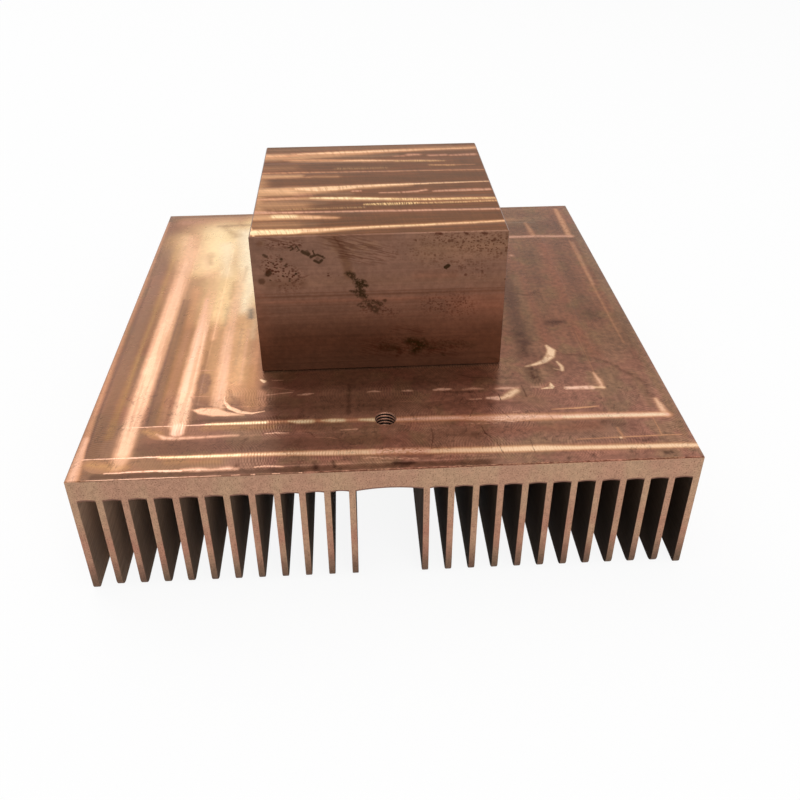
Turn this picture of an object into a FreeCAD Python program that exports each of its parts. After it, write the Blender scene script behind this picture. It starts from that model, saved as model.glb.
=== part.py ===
import FreeCAD, Part
import math
import os

import Sketcher

# Copper finned heat sink with a raised contact block, in millimetres.
# The origin is under the middle of the part, on the plane that the fin tips stand on.
# X runs across the fins, Y runs along them with the front at -Y, and Z is up.

doc = FreeCAD.newDocument("finned_heat_sink")

# Driving dimensions. Each is set by itself, and the rest follow from them.
SIZES = [
    ("base_width", 126.5, "plate and fins, across the fins"),
    ("base_depth", 126.5, "plate and fins, along the fins"),
    ("base_height", 30.0, "fin tips to the milled top of the plate"),
    ("plate_thickness", 5.6, "milled top to the springing of the slot roots"),
    ("fin_pitch", 5.0, "middle of one fin to the middle of the next"),
    ("slot_width", 3.7, "saw cut between two fins"),
    ("slot_root_rise", 0.25, "height of the arch at the root of a slot"),
    ("missing_fins", 2, "fins cut away for the central channel"),
    ("channel_root_rise", 0.6, "height of the arch over the channel"),
    ("least_outer_fin", 1.0, "thinnest outer fin that the row may leave"),
    ("root_edge_break", 0.4, "filed edge of each root at the front and back"),
    ("inner_tip_round", 2.0, "round on the lower end corners of the inner fins"),
    ("outer_tip_round", 0.8, "round on the lower end corners of the outer fins"),
    ("plate_edge_break", 0.2, "edge break round the milled top of the plate"),
    ("tap_drill", 4.2, "hole drilled for an M5 thread"),
    ("tap_mouth", 4.9, "countersunk mouth of that hole"),
    ("tap_mouth_angle", 90, "full angle of the countersink, in degrees"),
    ("tap_setback", 16.4, "middle of that hole from the front edge"),
    ("block_width", 55.0, "contact block, across the fins"),
    ("block_depth", 55.0, "contact block, along the fins"),
    ("block_height", 34.0, "contact block above the plate"),
    ("block_top_break", 0.25, "edge break round the contact face"),
    ("block_foot_break", 0.3, "edge break round the foot of the block"),
]

# Sizes that follow from the driving ones, as formulas of the sheet.
DERIVED = [
    ("fin_thickness", "=fin_pitch - slot_width", "each inner fin"),
    ("channel_width", "=missing_fins * fin_pitch + slot_width", "gap in the middle of the row"),
    ("channel_start", "=-channel_width / 2", "left side of the channel"),
    ("first_slot_start", "=channel_width / 2 + fin_thickness", "left side of the first slot"),
    (
        "slots_each_side",
        "=floor((base_width / 2 - channel_width / 2 - least_outer_fin) / fin_pitch)",
        "slots between the channel and an outer fin",
    ),
    ("root_height", "=base_height - plate_thickness", "fin tips to the springing of the roots"),
    (
        "slot_root_radius",
        "=(slot_width ^ 2 / 4 + slot_root_rise ^ 2) / (2 * slot_root_rise)",
        "arc over the width of a slot",
    ),
    (
        "channel_root_radius",
        "=(channel_width ^ 2 / 4 + channel_root_rise ^ 2) / (2 * channel_root_rise)",
        "arc over the width of the channel",
    ),
    ("tap_place", "=tap_setback - base_depth / 2", "middle of the tapped hole along Y"),
    ("block_top", "=base_height + block_height", "fin tips to the contact face"),
]

# A saw cut is drawn from this far below the fin tips, so that it opens cleanly.
CUT_START = 1.0

# Two places this close count as one when edges are picked.
NEAR = 1e-4


def fill_sheet():
    """Write every size into the sheet, one to a row, with its name as the alias."""
    table = doc.addObject("Spreadsheet::Sheet", "sizes")
    for row, (name, value, note) in enumerate(SIZES + DERIVED, start=1):
        table.set(f"A{row}", name)
        table.set(f"B{row}", str(value))
        table.set(f"C{row}", note)
        table.setAlias(f"B{row}", name)
    doc.recompute()
    return table


sheet = fill_sheet()


def size(name):
    """The value of one named size."""
    return float(sheet.get(name))


# Bodies, sketches and features


def new_body(name):
    """A body whose label is the name of its piece."""
    body = doc.addObject("PartDesign::Body", name)
    body.Label = name
    return body


def origin_feature(body, role):
    """One of the body's own origin planes or axes, found by its role."""
    for feature in body.Origin.OriginFeatures:
        if feature.Role == role:
            return feature
    raise ValueError(f"{body.Label} has no {role}")


def new_sketch(body, name, role, height=None):
    """A sketch on an origin plane, raised by a named size if one is given."""
    sketch = body.newObject("Sketcher::SketchObject", name)
    sketch.AttachmentSupport = [(origin_feature(body, role), "")]
    sketch.MapMode = "FlatFace"
    if height:
        sketch.setExpression("AttachmentOffset.Base.z", f"sizes.{height}")
    return sketch


def point(across, up):
    """A point of a sketch."""
    return FreeCAD.Vector(across, up, 0.0)


def fix(sketch, kind, *where):
    """Add a constraint that holds no dimension."""
    sketch.addConstraint(Sketcher.Constraint(kind, *where))


def measure(sketch, kind, *where, by):
    """Add a dimension and bind it to a named size."""
    index = sketch.addConstraint(Sketcher.Constraint(kind, *where, size(by)))
    sketch.setExpression(f"Constraints[{index}]", f"sizes.{by}")


def draw_rectangle(sketch, width, depth):
    """A rectangle of two named sizes, centred on the origin."""
    right, back = size(width) / 2, size(depth) / 2
    corners = [point(-right, -back), point(right, -back), point(right, back), point(-right, back)]
    for start, end in zip(corners, corners[1:] + corners[:1]):
        sketch.addGeometry(Part.LineSegment(start, end), False)
    for side in range(4):
        fix(sketch, "Coincident", side, 2, (side + 1) % 4, 1)
        fix(sketch, "Vertical" if side % 2 else "Horizontal", side)
    fix(sketch, "Symmetric", 0, 1, 1, 2, -1, 1)
    measure(sketch, "DistanceX", 0, 1, 0, 2, by=width)
    measure(sketch, "DistanceY", 1, 1, 1, 2, by=depth)


def draw_arched_cut(sketch, start, width, radius):
    """The outline of one cut: open below the tips, with upright sides and an arched root."""
    left, right = size(start), size(start) + size(width)
    root, bottom = size("root_height"), -CUT_START
    crown = root + size(radius) - math.sqrt(size(radius) ** 2 - (size(width) / 2) ** 2)
    arch = Part.Arc(point(right, root), point((left + right) / 2, crown), point(left, root))
    sketch.addGeometry(Part.LineSegment(point(left, bottom), point(right, bottom)), False)
    sketch.addGeometry(Part.LineSegment(point(right, bottom), point(right, root)), False)
    sketch.addGeometry(arch, False)
    sketch.addGeometry(Part.LineSegment(point(left, root), point(left, bottom)), False)
    for side in range(4):
        fix(sketch, "Coincident", side, 2, (side + 1) % 4, 1)
    fix(sketch, "Horizontal", 0)
    fix(sketch, "Vertical", 1)
    fix(sketch, "Vertical", 3)
    fix(sketch, "Horizontal", 1, 2, 3, 1)
    measure(sketch, "DistanceX", -1, 1, 0, 1, by=start)
    measure(sketch, "DistanceX", 0, 1, 0, 2, by=width)
    measure(sketch, "DistanceY", -1, 1, 3, 1, by="root_height")
    measure(sketch, "Radius", 2, by=radius)
    sketch.addConstraint(Sketcher.Constraint("DistanceY", 0, 1, -1, 1, CUT_START))


def pad(body, name, sketch, length):
    """Raise a sketch by a named size."""
    feature = body.newObject("PartDesign::Pad", name)
    feature.Profile = sketch
    feature.setExpression("Length", f"sizes.{length}")
    doc.recompute()
    return feature


def cut_through(body, name, sketch):
    """Cut a sketch right through the body, both ways from its plane."""
    feature = body.newObject("PartDesign::Pocket", name)
    feature.Profile = sketch
    feature.Type = "ThroughAll"
    feature.SideType = "Symmetric"
    doc.recompute()
    return feature


def dress_edges(body, kind, name, wanted, extent, by):
    """A chamfer or fillet of a named size on each edge for which the test holds."""
    carrier = body.Tip
    edges = carrier.Shape.Edges
    picked = [f"Edge{index}" for index, edge in enumerate(edges, start=1) if wanted(edge.BoundBox)]
    feature = body.newObject(f"PartDesign::{kind}", name)
    feature.Base = (carrier, picked)
    feature.setExpression(extent, f"sizes.{by}")
    doc.recompute()
    return feature


# Which edges a finish goes on, told from the box round each edge


def at_end_face(box):
    """Whether an edge lies in the front or the back face of the base."""
    return box.YLength < NEAR and abs(abs(box.YMin) - size("base_depth") / 2) < NEAR


def at_side(box):
    """Whether an edge reaches the left or the right side of the base."""
    return max(abs(box.XMin), abs(box.XMax)) > size("base_width") / 2 - NEAR


def at_height(box, height):
    """Whether a whole edge lies at one height."""
    return abs(box.ZMin - height) < NEAR and abs(box.ZMax - height) < NEAR


def is_tip_corner(box):
    """Whether an edge is the lower corner of a fin at its front or back end."""
    return at_end_face(box) and at_height(box, 0.0)


def is_root_end(box):
    """Whether an edge is the front or back end of the root of a slot or of the channel."""
    over_spring = box.ZMax > size("root_height") - NEAR
    under_top = box.ZMax < size("base_height") - NEAR
    return at_end_face(box) and over_spring and under_top and box.XLength > NEAR


# The plate and its fins


def cut_slots(body):
    """The slots beside the channel: one saw cut, repeated outwards and mirrored."""
    profile = new_sketch(body, "slot_profile", "XZ_Plane")
    draw_arched_cut(profile, "first_slot_start", "slot_width", "slot_root_radius")
    slot = cut_through(body, "slot", profile)
    row = doc.addObject("PartDesign::LinearPattern", "slot_row")
    row.Direction = (origin_feature(body, "X_Axis"), [""])
    row.Mode = "Spacing"
    row.setExpression("Offset", "sizes.fin_pitch")
    row.setExpression("Occurrences", "sizes.slots_each_side")
    other_side = doc.addObject("PartDesign::Mirrored", "other_side")
    other_side.MirrorPlane = (origin_feature(body, "YZ_Plane"), [""])
    slots = body.newObject("PartDesign::MultiTransform", "slots")
    slots.Originals = [slot]
    slots.Transformations = [row, other_side]
    body.Tip = slots
    doc.recompute()


def cut_channel(body):
    """The wide channel in the middle, where fins are left out."""
    profile = new_sketch(body, "channel_profile", "XZ_Plane")
    draw_arched_cut(profile, "channel_start", "channel_width", "channel_root_radius")
    cut_through(body, "channel", profile)


def drill_tapped_hole(body):
    """The hole for the thread, from the milled top into the channel, with a countersunk mouth."""
    place = new_sketch(body, "tapped_hole_place", "XY_Plane", height="base_height")
    middle = point(0, size("tap_place"))
    place.addGeometry(Part.Circle(middle, FreeCAD.Vector(0, 0, 1), size("tap_drill") / 2))
    fix(place, "PointOnObject", 0, 3, -2)
    measure(place, "DistanceY", -1, 1, 0, 3, by="tap_place")
    measure(place, "Diameter", 0, by="tap_drill")
    hole = body.newObject("PartDesign::Hole", "tapped_hole")
    hole.Profile = place
    doc.recompute()
    hole.DepthType = "ThroughAll"
    hole.setExpression("Diameter", "sizes.tap_drill")
    hole.HoleCutType = "Countersink"
    hole.setExpression("HoleCutDiameter", "sizes.tap_mouth")
    hole.setExpression("HoleCutCountersinkAngle", "sizes.tap_mouth_angle")
    doc.recompute()


def make_finned_base():
    """The square plate and its straight fins, sawn from one piece of copper."""
    body = new_body("finned_base")
    outline = new_sketch(body, "base_outline", "XY_Plane")
    draw_rectangle(outline, "base_width", "base_depth")
    pad(body, "base_blank", outline, "base_height")
    cut_slots(body)
    cut_channel(body)
    dress_edges(
        body, "Fillet", "inner_tips", lambda box: is_tip_corner(box) and not at_side(box),
        extent="Radius", by="inner_tip_round",
    )
    dress_edges(
        body, "Fillet", "outer_tips", lambda box: is_tip_corner(box) and at_side(box),
        extent="Radius", by="outer_tip_round",
    )
    dress_edges(body, "Chamfer", "root_ends", is_root_end, extent="Size", by="root_edge_break")
    dress_edges(
        body, "Chamfer", "plate_edges", lambda box: at_height(box, size("base_height")),
        extent="Size", by="plate_edge_break",
    )
    drill_tapped_hole(body)
    return body


# The block that meets the hot surface


def make_pedestal_block():
    """The square block that stands in the middle of the plate."""
    body = new_body("pedestal_block")
    outline = new_sketch(body, "block_outline", "XY_Plane", height="base_height")
    draw_rectangle(outline, "block_width", "block_depth")
    pad(body, "block_blank", outline, "block_height")
    dress_edges(
        body, "Chamfer", "contact_edges", lambda box: at_height(box, size("block_top")),
        extent="Size", by="block_top_break",
    )
    dress_edges(
        body, "Chamfer", "foot_edges", lambda box: at_height(box, size("base_height")),
        extent="Size", by="block_foot_break",
    )
    return body


# Checking and writing


def check_document():
    """Stop if any object of the document failed."""
    doc.recompute()
    for item in doc.Objects:
        if "Invalid" in item.State or "Error" in item.State:
            raise RuntimeError(f"{item.Label} failed: {item.State}")


def write_piece(body):
    """Check the shape of one piece, print its size and write it under the piece's name."""
    shape = body.Shape
    if shape.isNull() or not shape.isValid() or len(shape.Solids) != 1:
        raise RuntimeError(f"{body.Label} is not one valid solid")
    box = shape.BoundBox
    extents = f"{box.XLength:.2f} x {box.YLength:.2f} x {box.ZLength:.2f} mm"
    print(f"{body.Label}: {shape.Volume:.1f} mm3, {extents}")
    shape.exportStep(f"parts/{body.Label}.step")


os.makedirs("parts", exist_ok=True)
pieces = [make_finned_base(), make_pedestal_block()]
check_document()
for piece in pieces:
    write_piece(piece)
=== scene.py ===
"""Looks of a square copper heat sink: a milled plate with sawn fins under it and a drawn copper block on top.

Sizes are in millimetres in the part's own frame, and meshes are written in metres. The plate and fins are one
watertight sheet: a section swept from front to back, with the tapped hole let into it. The block is another.
"""

import logging
import math
from dataclasses import dataclass, field
from enum import Enum, IntEnum
from typing import Sequence

import bmesh
import bpy
import numpy as np
from mathutils import Euler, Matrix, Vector

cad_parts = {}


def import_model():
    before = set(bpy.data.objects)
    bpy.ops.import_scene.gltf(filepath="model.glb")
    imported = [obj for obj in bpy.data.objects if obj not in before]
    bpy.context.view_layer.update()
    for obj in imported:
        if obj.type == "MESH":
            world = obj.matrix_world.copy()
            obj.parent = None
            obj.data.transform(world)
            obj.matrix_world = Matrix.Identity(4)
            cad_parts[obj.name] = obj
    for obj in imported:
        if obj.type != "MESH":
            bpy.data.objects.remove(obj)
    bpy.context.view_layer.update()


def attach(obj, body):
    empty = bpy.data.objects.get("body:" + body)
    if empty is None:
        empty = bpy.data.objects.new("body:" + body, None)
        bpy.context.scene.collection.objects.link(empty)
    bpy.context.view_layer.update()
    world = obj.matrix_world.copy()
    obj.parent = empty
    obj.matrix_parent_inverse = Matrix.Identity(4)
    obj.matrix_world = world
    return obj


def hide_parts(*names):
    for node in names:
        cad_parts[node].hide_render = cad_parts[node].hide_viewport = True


METRES = 0.001
WELD = 2e-7
LOG = logging.getLogger("heat_sink")
NOISE_SPAN = (0.3, 0.7)
BRIGHT_RED = 0.35
EDGE_PARTS = (0.85, 0.68, 0.55)
WHITE = (1.0, 1.0, 1.0, 1.0)

Socket = bpy.types.NodeSocket
Number = float | Socket
Triple = tuple[float, float, float]
Spot = tuple[float, float]
Colour = tuple[float, float, float, float]
# A window's left, front, right and back.
Window = tuple[float, float, float, float]
# Where a ramp starts and ends, and its value before and after.
Step = tuple[float, float, float, float]
# How far a trail's edge fades, its strength, and its place and half width at each bend.
Trail = tuple[float | Triple, ...]


def tint(red: int, green: int, blue: int, haze: float = 0.018) -> Colour:
    """A colour as a picker shows it, from 0 to 255, made linear.

    Args:
        red: The red share.
        green: The green share.
        blue: The blue share.
        haze: The white that a copper face adds at a slant, and that the colour therefore leaves out.

    Returns:
        The linear colour with full alpha.
    """
    shares = np.array([red, green, blue]) / 255.0
    linear = np.where(shares <= 0.04045, shares / 12.92, ((shares + 0.055) / 1.055) ** 2.4)
    return (*(max(float(share) - haze, 0.002) for share in linear), 1.0)


class Tone(Enum):
    """Colours of this copper under plain light, and colours of painted highlights and painted shade."""

    BROWN = tint(136, 99, 79)
    RUSSET = tint(140, 97, 79)
    RUST = tint(142, 92, 72)
    OLIVE = tint(138, 105, 80)
    UMBER = tint(74, 46, 34)
    DUSK = tint(104, 74, 60)
    BARK = tint(106, 74, 51)
    TAN = tint(186, 142, 108)
    OCHRE = tint(170, 130, 88)
    ORANGE = tint(208, 154, 118)
    ROSE = tint(214, 164, 140)
    PINK = tint(246, 198, 172)
    PALE = tint(252, 212, 174)
    GOLD = tint(254, 222, 168)
    CREAM = tint(255, 232, 190)
    SAND = tint(216, 170, 130)
    BLUSH = tint(240, 190, 156)
    COPPER = tint(188, 138, 112)
    GLARE = tint(255, 232, 196)
    INK = tint(58, 48, 38)
    SLATE = tint(126, 114, 102)
    SOOT = tint(58, 42, 34)

    @property
    def edge(self) -> Colour:
        """The tone at a mark's soft edge: deeper and redder where the tone is a bright one.

        Returns:
            The linear colour.
        """
        red, green, blue, _ = self.value
        deep = (*(share * part for share, part in zip((red, green, blue), EDGE_PARTS)), 1.0)
        return deep if red > BRIGHT_RED else self.value


class Breakup(Enum):
    """What breaks a layer of marks up."""

    SMOOTH = "smooth"
    WHOLE = "whole"
    GRAIN = "grain"
    HATCH = "hatch"
    SPARKLE = "sparkle"
    CLOUD = "cloud"


@dataclass(frozen=True)
class Stroke:
    """A straight soft-edged stroke on a face, in millimetres: a streak or, where it has no length, a spot."""

    start: Spot
    end: Spot
    width: float
    end_width: float
    soft: float
    strength: float = 1.0

    def touches(self, window: Window, reach: float) -> bool:
        """Whether the stroke comes near a window.

        Args:
            window: The window's left, front, right and back.
            reach: How near, beside the stroke's own width and softness.

        Returns:
            True where some of it may show there.
        """
        reach += max(self.width, self.end_width) + self.soft
        left, front, right, back = window
        low, high = np.minimum(self.start, self.end) - reach, np.maximum(self.start, self.end) + reach
        return bool(low[0] < right and high[0] > left and low[1] < back and high[1] > front)


def trails(*rows: Trail) -> tuple[Stroke, ...]:
    """Bent strokes and round spots.

    Args:
        *rows: For each, how far its edge fades, how much of its tone it lays on, and then the place and half
            width at every bend. A row with one place is a spot.

    Returns:
        One straight stroke for each leg.
    """
    legs: list[Stroke] = []
    for soft, strength, *bends in rows:
        ends = bends[1:] or bends
        legs += [Stroke(a[:2], b[:2], a[2], b[2], soft, strength) for a, b in zip(bends, ends)]
    return tuple(legs)


@dataclass(frozen=True)
class Layer:
    """Strokes of one tone, and how unevenly they lie."""

    tone: Tone
    strokes: tuple[Stroke, ...]
    broken: Breakup = Breakup.WHOLE
    waver: float = 0.25
    waver_scale: float = 0.5
    blur: float = 1.4
    fade: Spot | None = None


class Bench:
    """Lays out the nodes of one material, world or node group, so that a pattern reads as arithmetic."""

    def __init__(self, tree: bpy.types.NodeTree) -> None:
        """Keeps the tree that the nodes go into."""
        self.tree = tree

    def node(self, kind: str, **settings: object) -> bpy.types.Node:
        """Adds a node.

        Args:
            kind: The node's type, without its ShaderNode prefix.
            **settings: Properties of the node.

        Returns:
            The new node.
        """
        made = self.tree.nodes.new("ShaderNode" + kind)
        for name, value in settings.items():
            setattr(made, name, value)
        return made

    def feed(self, socket: Socket, value: object) -> None:
        """Links a socket to another, or sets its value.

        Args:
            socket: The input to feed.
            value: An output socket, a number, a vector or a colour.
        """
        if isinstance(value, Socket):
            self.tree.links.new(value, socket)
        else:
            socket.default_value = value

    def maths(self, operation: str, first: Number, second: Number = 0.0, third: Number = 0.0) -> Socket:
        """Adds a Math node.

        Args:
            operation: What it does.
            first: Its first number.
            second: Its second number.
            third: Its third number.

        Returns:
            The result.
        """
        made = self.node("Math", operation=operation)
        for socket, value in zip(made.inputs, (first, second, third)):
            self.feed(socket, value)
        return made.outputs[0]

    def vector(self, operation: str, first: object, second: object = (0.0, 0.0, 0.0),
               third: object = (0.0, 0.0, 0.0)) -> Socket:
        """Adds a Vector Math node.

        Args:
            operation: What it does.
            first: Its first vector.
            second: Its second vector, or the number that scales the first.
            third: Its third vector.

        Returns:
            The result: a number where the operation gives one, and a vector otherwise.
        """
        made = self.node("VectorMath", operation=operation)
        self.feed(made.inputs[0], first)
        self.feed(made.inputs[3 if operation == "SCALE" else 1], second)
        self.feed(made.inputs[2], third)
        return made.outputs["Value" if operation in ("DOT_PRODUCT", "DISTANCE", "LENGTH") else "Vector"]

    def times(self, first: Number, second: Number) -> Socket:
        """The product of two numbers."""
        return self.maths("MULTIPLY", first, second)

    def plus(self, first: Number, second: Number) -> Socket:
        """The total of two numbers."""
        return self.maths("ADD", first, second)

    def less(self, first: Number, second: Number) -> Socket:
        """The first number with the second one taken away."""
        return self.maths("SUBTRACT", first, second)

    def ramp(self, value: Number, low: Number, high: Number, first: Number = 0.0,
             last: Number = 1.0) -> Socket:
        """A smooth step.

        Args:
            value: The number that steps.
            low: Where the step starts.
            high: Where it ends. It may lie below low.
            first: The result before the step.
            last: The result after it.

        Returns:
            The result.
        """
        made = self.node("MapRange", interpolation_type="SMOOTHSTEP")
        for socket, number in zip(made.inputs, (value, low, high, first, last)):
            self.feed(socket, number)
        return made.outputs[0]

    def noise(self, where: Socket, scale: float, detail: float = 2.0, colour: bool = False) -> Socket:
        """Fractal noise about one half.

        Args:
            where: Coordinates.
            scale: Bumps in a millimetre.
            detail: How many finer layers it has.
            colour: Whether three noises are wanted, as a colour.

        Returns:
            The noise, from 0 to 1.
        """
        made = self.node("TexNoise", noise_dimensions="3D", normalize=True)
        for name, value in (("Vector", where), ("Scale", scale), ("Detail", detail), ("Roughness", 0.55)):
            self.feed(made.inputs[name], value)
        return made.outputs["Color" if colour else "Fac"]

    def stretch(self, where: Socket, scale: Triple, turn: float = 0.0) -> Socket:
        """Coordinates that draw a pattern out.

        Args:
            where: Coordinates.
            scale: How often the pattern repeats along each axis. Below one draws it out.
            turn: The angle, in degrees, that they are turned about Z by first.

        Returns:
            The new coordinates.
        """
        made = self.node("Mapping", vector_type="TEXTURE")
        self.feed(made.inputs["Vector"], where)
        self.feed(made.inputs["Rotation"], (0.0, 0.0, math.radians(turn)))
        self.feed(made.inputs["Scale"], tuple(1.0 / share for share in scale))
        return made.outputs[0]

    def mix(self, share: Number, first: object, second: object) -> Socket:
        """A colour between two others.

        Args:
            share: How much of the second colour shows.
            first: The first colour.
            second: The second colour.

        Returns:
            The blend.
        """
        made = self.node("Mix", data_type="RGBA", clamp_factor=True)
        for place, value in ((0, share), (6, first), (7, second)):
            self.feed(made.inputs[place], value)
        return made.outputs[2]

    def scaled(self, colour: Socket, share: Number) -> Socket:
        """A colour with its brightness scaled."""
        return self.vector("SCALE", colour, share)

    def uneven(self, colour: Socket, pattern: Socket, swing: float, middle: float = 1.0) -> Socket:
        """A colour whose brightness swings about a middle as a noise pattern does."""
        return self.scaled(colour, self.ramp(pattern, *NOISE_SPAN, middle - swing, middle + swing))

    def millimetres(self) -> Socket:
        """Object coordinates in millimetres."""
        return self.vector("SCALE", self.node("TexCoord").outputs["Object"], 1.0 / METRES)

    def axes(self, where: Socket) -> tuple[Socket, Socket, Socket]:
        """The three numbers of a vector.

        Args:
            where: The vector.

        Returns:
            Its x, y and z.
        """
        made = self.node("SeparateXYZ")
        self.feed(made.inputs[0], where)
        return made.outputs[0], made.outputs[1], made.outputs[2]

    def point(self, x: Number, y: Number, z: Number = 0.0) -> Socket:
        """A vector from three numbers.

        Args:
            x: Its first number.
            y: Its second number.
            z: Its third number.

        Returns:
            The vector.
        """
        made = self.node("CombineXYZ")
        for socket, value in zip(made.inputs, (x, y, z)):
            self.feed(socket, value)
        return made.outputs[0]

    def wander(self, where: Socket, scale: float, reach: float) -> Socket:
        """Coordinates pushed about by smooth noise, by up to half of reach."""
        push = self.vector("SUBTRACT", self.noise(where, scale, 2.0, colour=True), (0.5, 0.5, 0.5))
        return self.vector("ADD", where, self.vector("SCALE", push, reach))

    def strokes(self, where: Socket, drawn: Sequence[Stroke], blur: float = 1.0) -> tuple[Socket, Socket]:
        """The strongest of a list of strokes at each point, in a node group of their own.

        Each stroke hands the coordinates on to the next with the mask so far as their z. Cycles then works
        them out one after another, and its small stack holds any number of them.

        Args:
            where: Coordinates across the face in millimetres, with z at zero.
            drawn: The strokes.
            blur: How many times softer their edges are.

        Returns:
            A mask from 0 to 1, and the coordinates again for what must come later.
        """
        inner = Bench(bpy.data.node_groups.new("strokes", "ShaderNodeTree"))
        sockets = (("Where", "INPUT", "Vector"), ("Mask", "OUTPUT", "Float"), ("Again", "OUTPUT", "Vector"))
        for name, way, kind in sockets:
            inner.tree.interface.new_socket(name, in_out=way, socket_type="NodeSocket" + kind)
        passed = inner.tree.nodes.new("NodeGroupInput").outputs["Where"]
        for stroke in drawn:
            passed = inner.stroke(passed, stroke, blur)
        given = inner.tree.nodes.new("NodeGroupOutput").inputs
        inner.feed(given["Mask"], inner.axes(passed)[2])
        inner.feed(given["Again"], inner.vector("MULTIPLY", passed, (1.0, 1.0, 0.0)))
        made = self.node("Group", node_tree=inner.tree)
        self.feed(made.inputs["Where"], where)
        return made.outputs["Mask"], made.outputs["Again"]

    def stroke(self, passed: Socket, stroke: Stroke, blur: float) -> Socket:
        """Adds one stroke to the mask that comes with the coordinates.

        Args:
            passed: The coordinates, with the mask so far as their z.
            stroke: The stroke.
            blur: How many times softer its edge is.

        Returns:
            The same with the stroke in the mask.
        """
        made = self.node("Group", node_tree=stroke_group())
        run = Vector((*stroke.end, 0.0)) - Vector((*stroke.start, 0.0))
        values = {
            "Passed": passed,
            "Back": (-stroke.start[0], -stroke.start[1], 0.0),
            "Run": tuple(run),
            "Share": 1.0 / max(run.length_squared, 1e-6),
            "Width": stroke.width,
            "Growth": stroke.end_width - stroke.width,
            "Soft": stroke.soft * blur,
            "Strength": stroke.strength,
        }
        for name, value in values.items():
            self.feed(made.inputs[name], value)
        return made.outputs[0]

    def hairlines(self, where: Socket, scale: float, width: float) -> Socket:
        """Thin curling lines: where smooth noise passes through one half."""
        away = self.maths("ABSOLUTE", self.less(self.noise(where, scale, 1.0), 0.5))
        return self.ramp(away, 0.0, width, 1.0, 0.0)

    def specks(self, where: Socket, scale: float, size: float, share: float) -> Socket:
        """Round specks in some cells of a cell pattern.

        Args:
            where: Coordinates.
            scale: Cells in a millimetre.
            size: A speck's size as a part of its cell.
            share: The part of the cells that hold one.

        Returns:
            A mask from 0 to 1.
        """
        made = self.node("TexVoronoi", feature="F1")
        self.feed(made.inputs["Vector"], where)
        self.feed(made.inputs["Scale"], scale)
        chosen = self.axes(made.outputs["Color"])[0]
        held = self.maths("LESS_THAN", chosen, share)
        reach = self.maths("MULTIPLY_ADD", chosen, size / share, size * 0.4)
        dot = self.ramp(made.outputs["Distance"], self.times(reach, 0.6), reach, 1.0, 0.0)
        return self.times(dot, held)


def stroke_group() -> bpy.types.NodeTree:
    """The node group that draws one stroke: the distance to a segment against a width that grows along it.

    Returns:
        The group, made on the first call.
    """
    known = bpy.data.node_groups.get("stroke")
    if known:
        return known
    tree = bpy.data.node_groups.new("stroke", "ShaderNodeTree")
    for name in ("Passed", "Back", "Run"):
        tree.interface.new_socket(name, in_out="INPUT", socket_type="NodeSocketVector")
    for name in ("Share", "Width", "Growth", "Soft", "Strength"):
        tree.interface.new_socket(name, in_out="INPUT", socket_type="NodeSocketFloat")
    tree.interface.new_socket("Passed", in_out="OUTPUT", socket_type="NodeSocketVector")
    given = tree.nodes.new("NodeGroupInput").outputs
    bench = Bench(tree)
    from_start = bench.vector("MULTIPLY_ADD", given["Passed"], (1.0, 1.0, 0.0), given["Back"])
    along = bench.times(bench.vector("DOT_PRODUCT", from_start, given["Run"]), given["Share"])
    along = bench.ramp(along, 0.0, 1.0)
    along.node.interpolation_type = "LINEAR"
    away = bench.vector("DISTANCE", from_start, bench.vector("SCALE", given["Run"], along))
    width = bench.maths("MULTIPLY_ADD", given["Growth"], along, given["Width"])
    inner = bench.less(width, given["Soft"])
    outer = bench.plus(width, given["Soft"])
    mask = bench.ramp(away, inner, outer, given["Strength"], 0.0)
    marked = bench.vector("MAXIMUM", given["Passed"], bench.point(-1e4, -1e4, mask))
    tree.links.new(marked, tree.nodes.new("NodeGroupOutput").inputs["Passed"])
    return tree


@dataclass(frozen=True)
class Copper:
    """What every copper finish has: how metallic, rough and glossy it is, and how deep its fine relief is."""

    name: str
    metallic: float = 0.6
    rough: float = 0.32
    relief: float = 0.02
    gloss: float = 0.1

    def paint(self, bench: Bench, where: Socket) -> tuple[object, Number, Number]:
        """Says how the face looks at each point; each finish has its own.

        Args:
            bench: The material's bench.
            where: Coordinates in millimetres.

        Returns:
            Its colour, its roughness and the height of its relief, as a share of the finish's own.
        """
        raise NotImplementedError

    def material(self) -> bpy.types.Material:
        """Builds the finish as a material.

        Returns:
            A material with one Principled shader that takes its colour, roughness and bump from the pattern.
        """
        made = bpy.data.materials.new(self.name)
        made.use_nodes = True
        made.node_tree.nodes.clear()
        bench = Bench(made.node_tree)
        where = bench.millimetres()
        colour, rough, height = self.paint(bench, where)
        shader = bench.node("BsdfPrincipled")
        bench.feed(shader.inputs["Base Color"], colour)
        shader.inputs["Metallic"].default_value = self.metallic
        shader.inputs["Specular IOR Level"].default_value = self.gloss
        bench.feed(shader.inputs["Roughness"], rough)
        bump = bench.node("Bump")
        bench.feed(bump.inputs["Height"], height)
        bump.inputs["Distance"].default_value = self.relief * METRES
        bench.feed(shader.inputs["Normal"], bump.outputs[0])
        bench.feed(bench.node("OutputMaterial").inputs["Surface"], shader.outputs[0])
        return made


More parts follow.
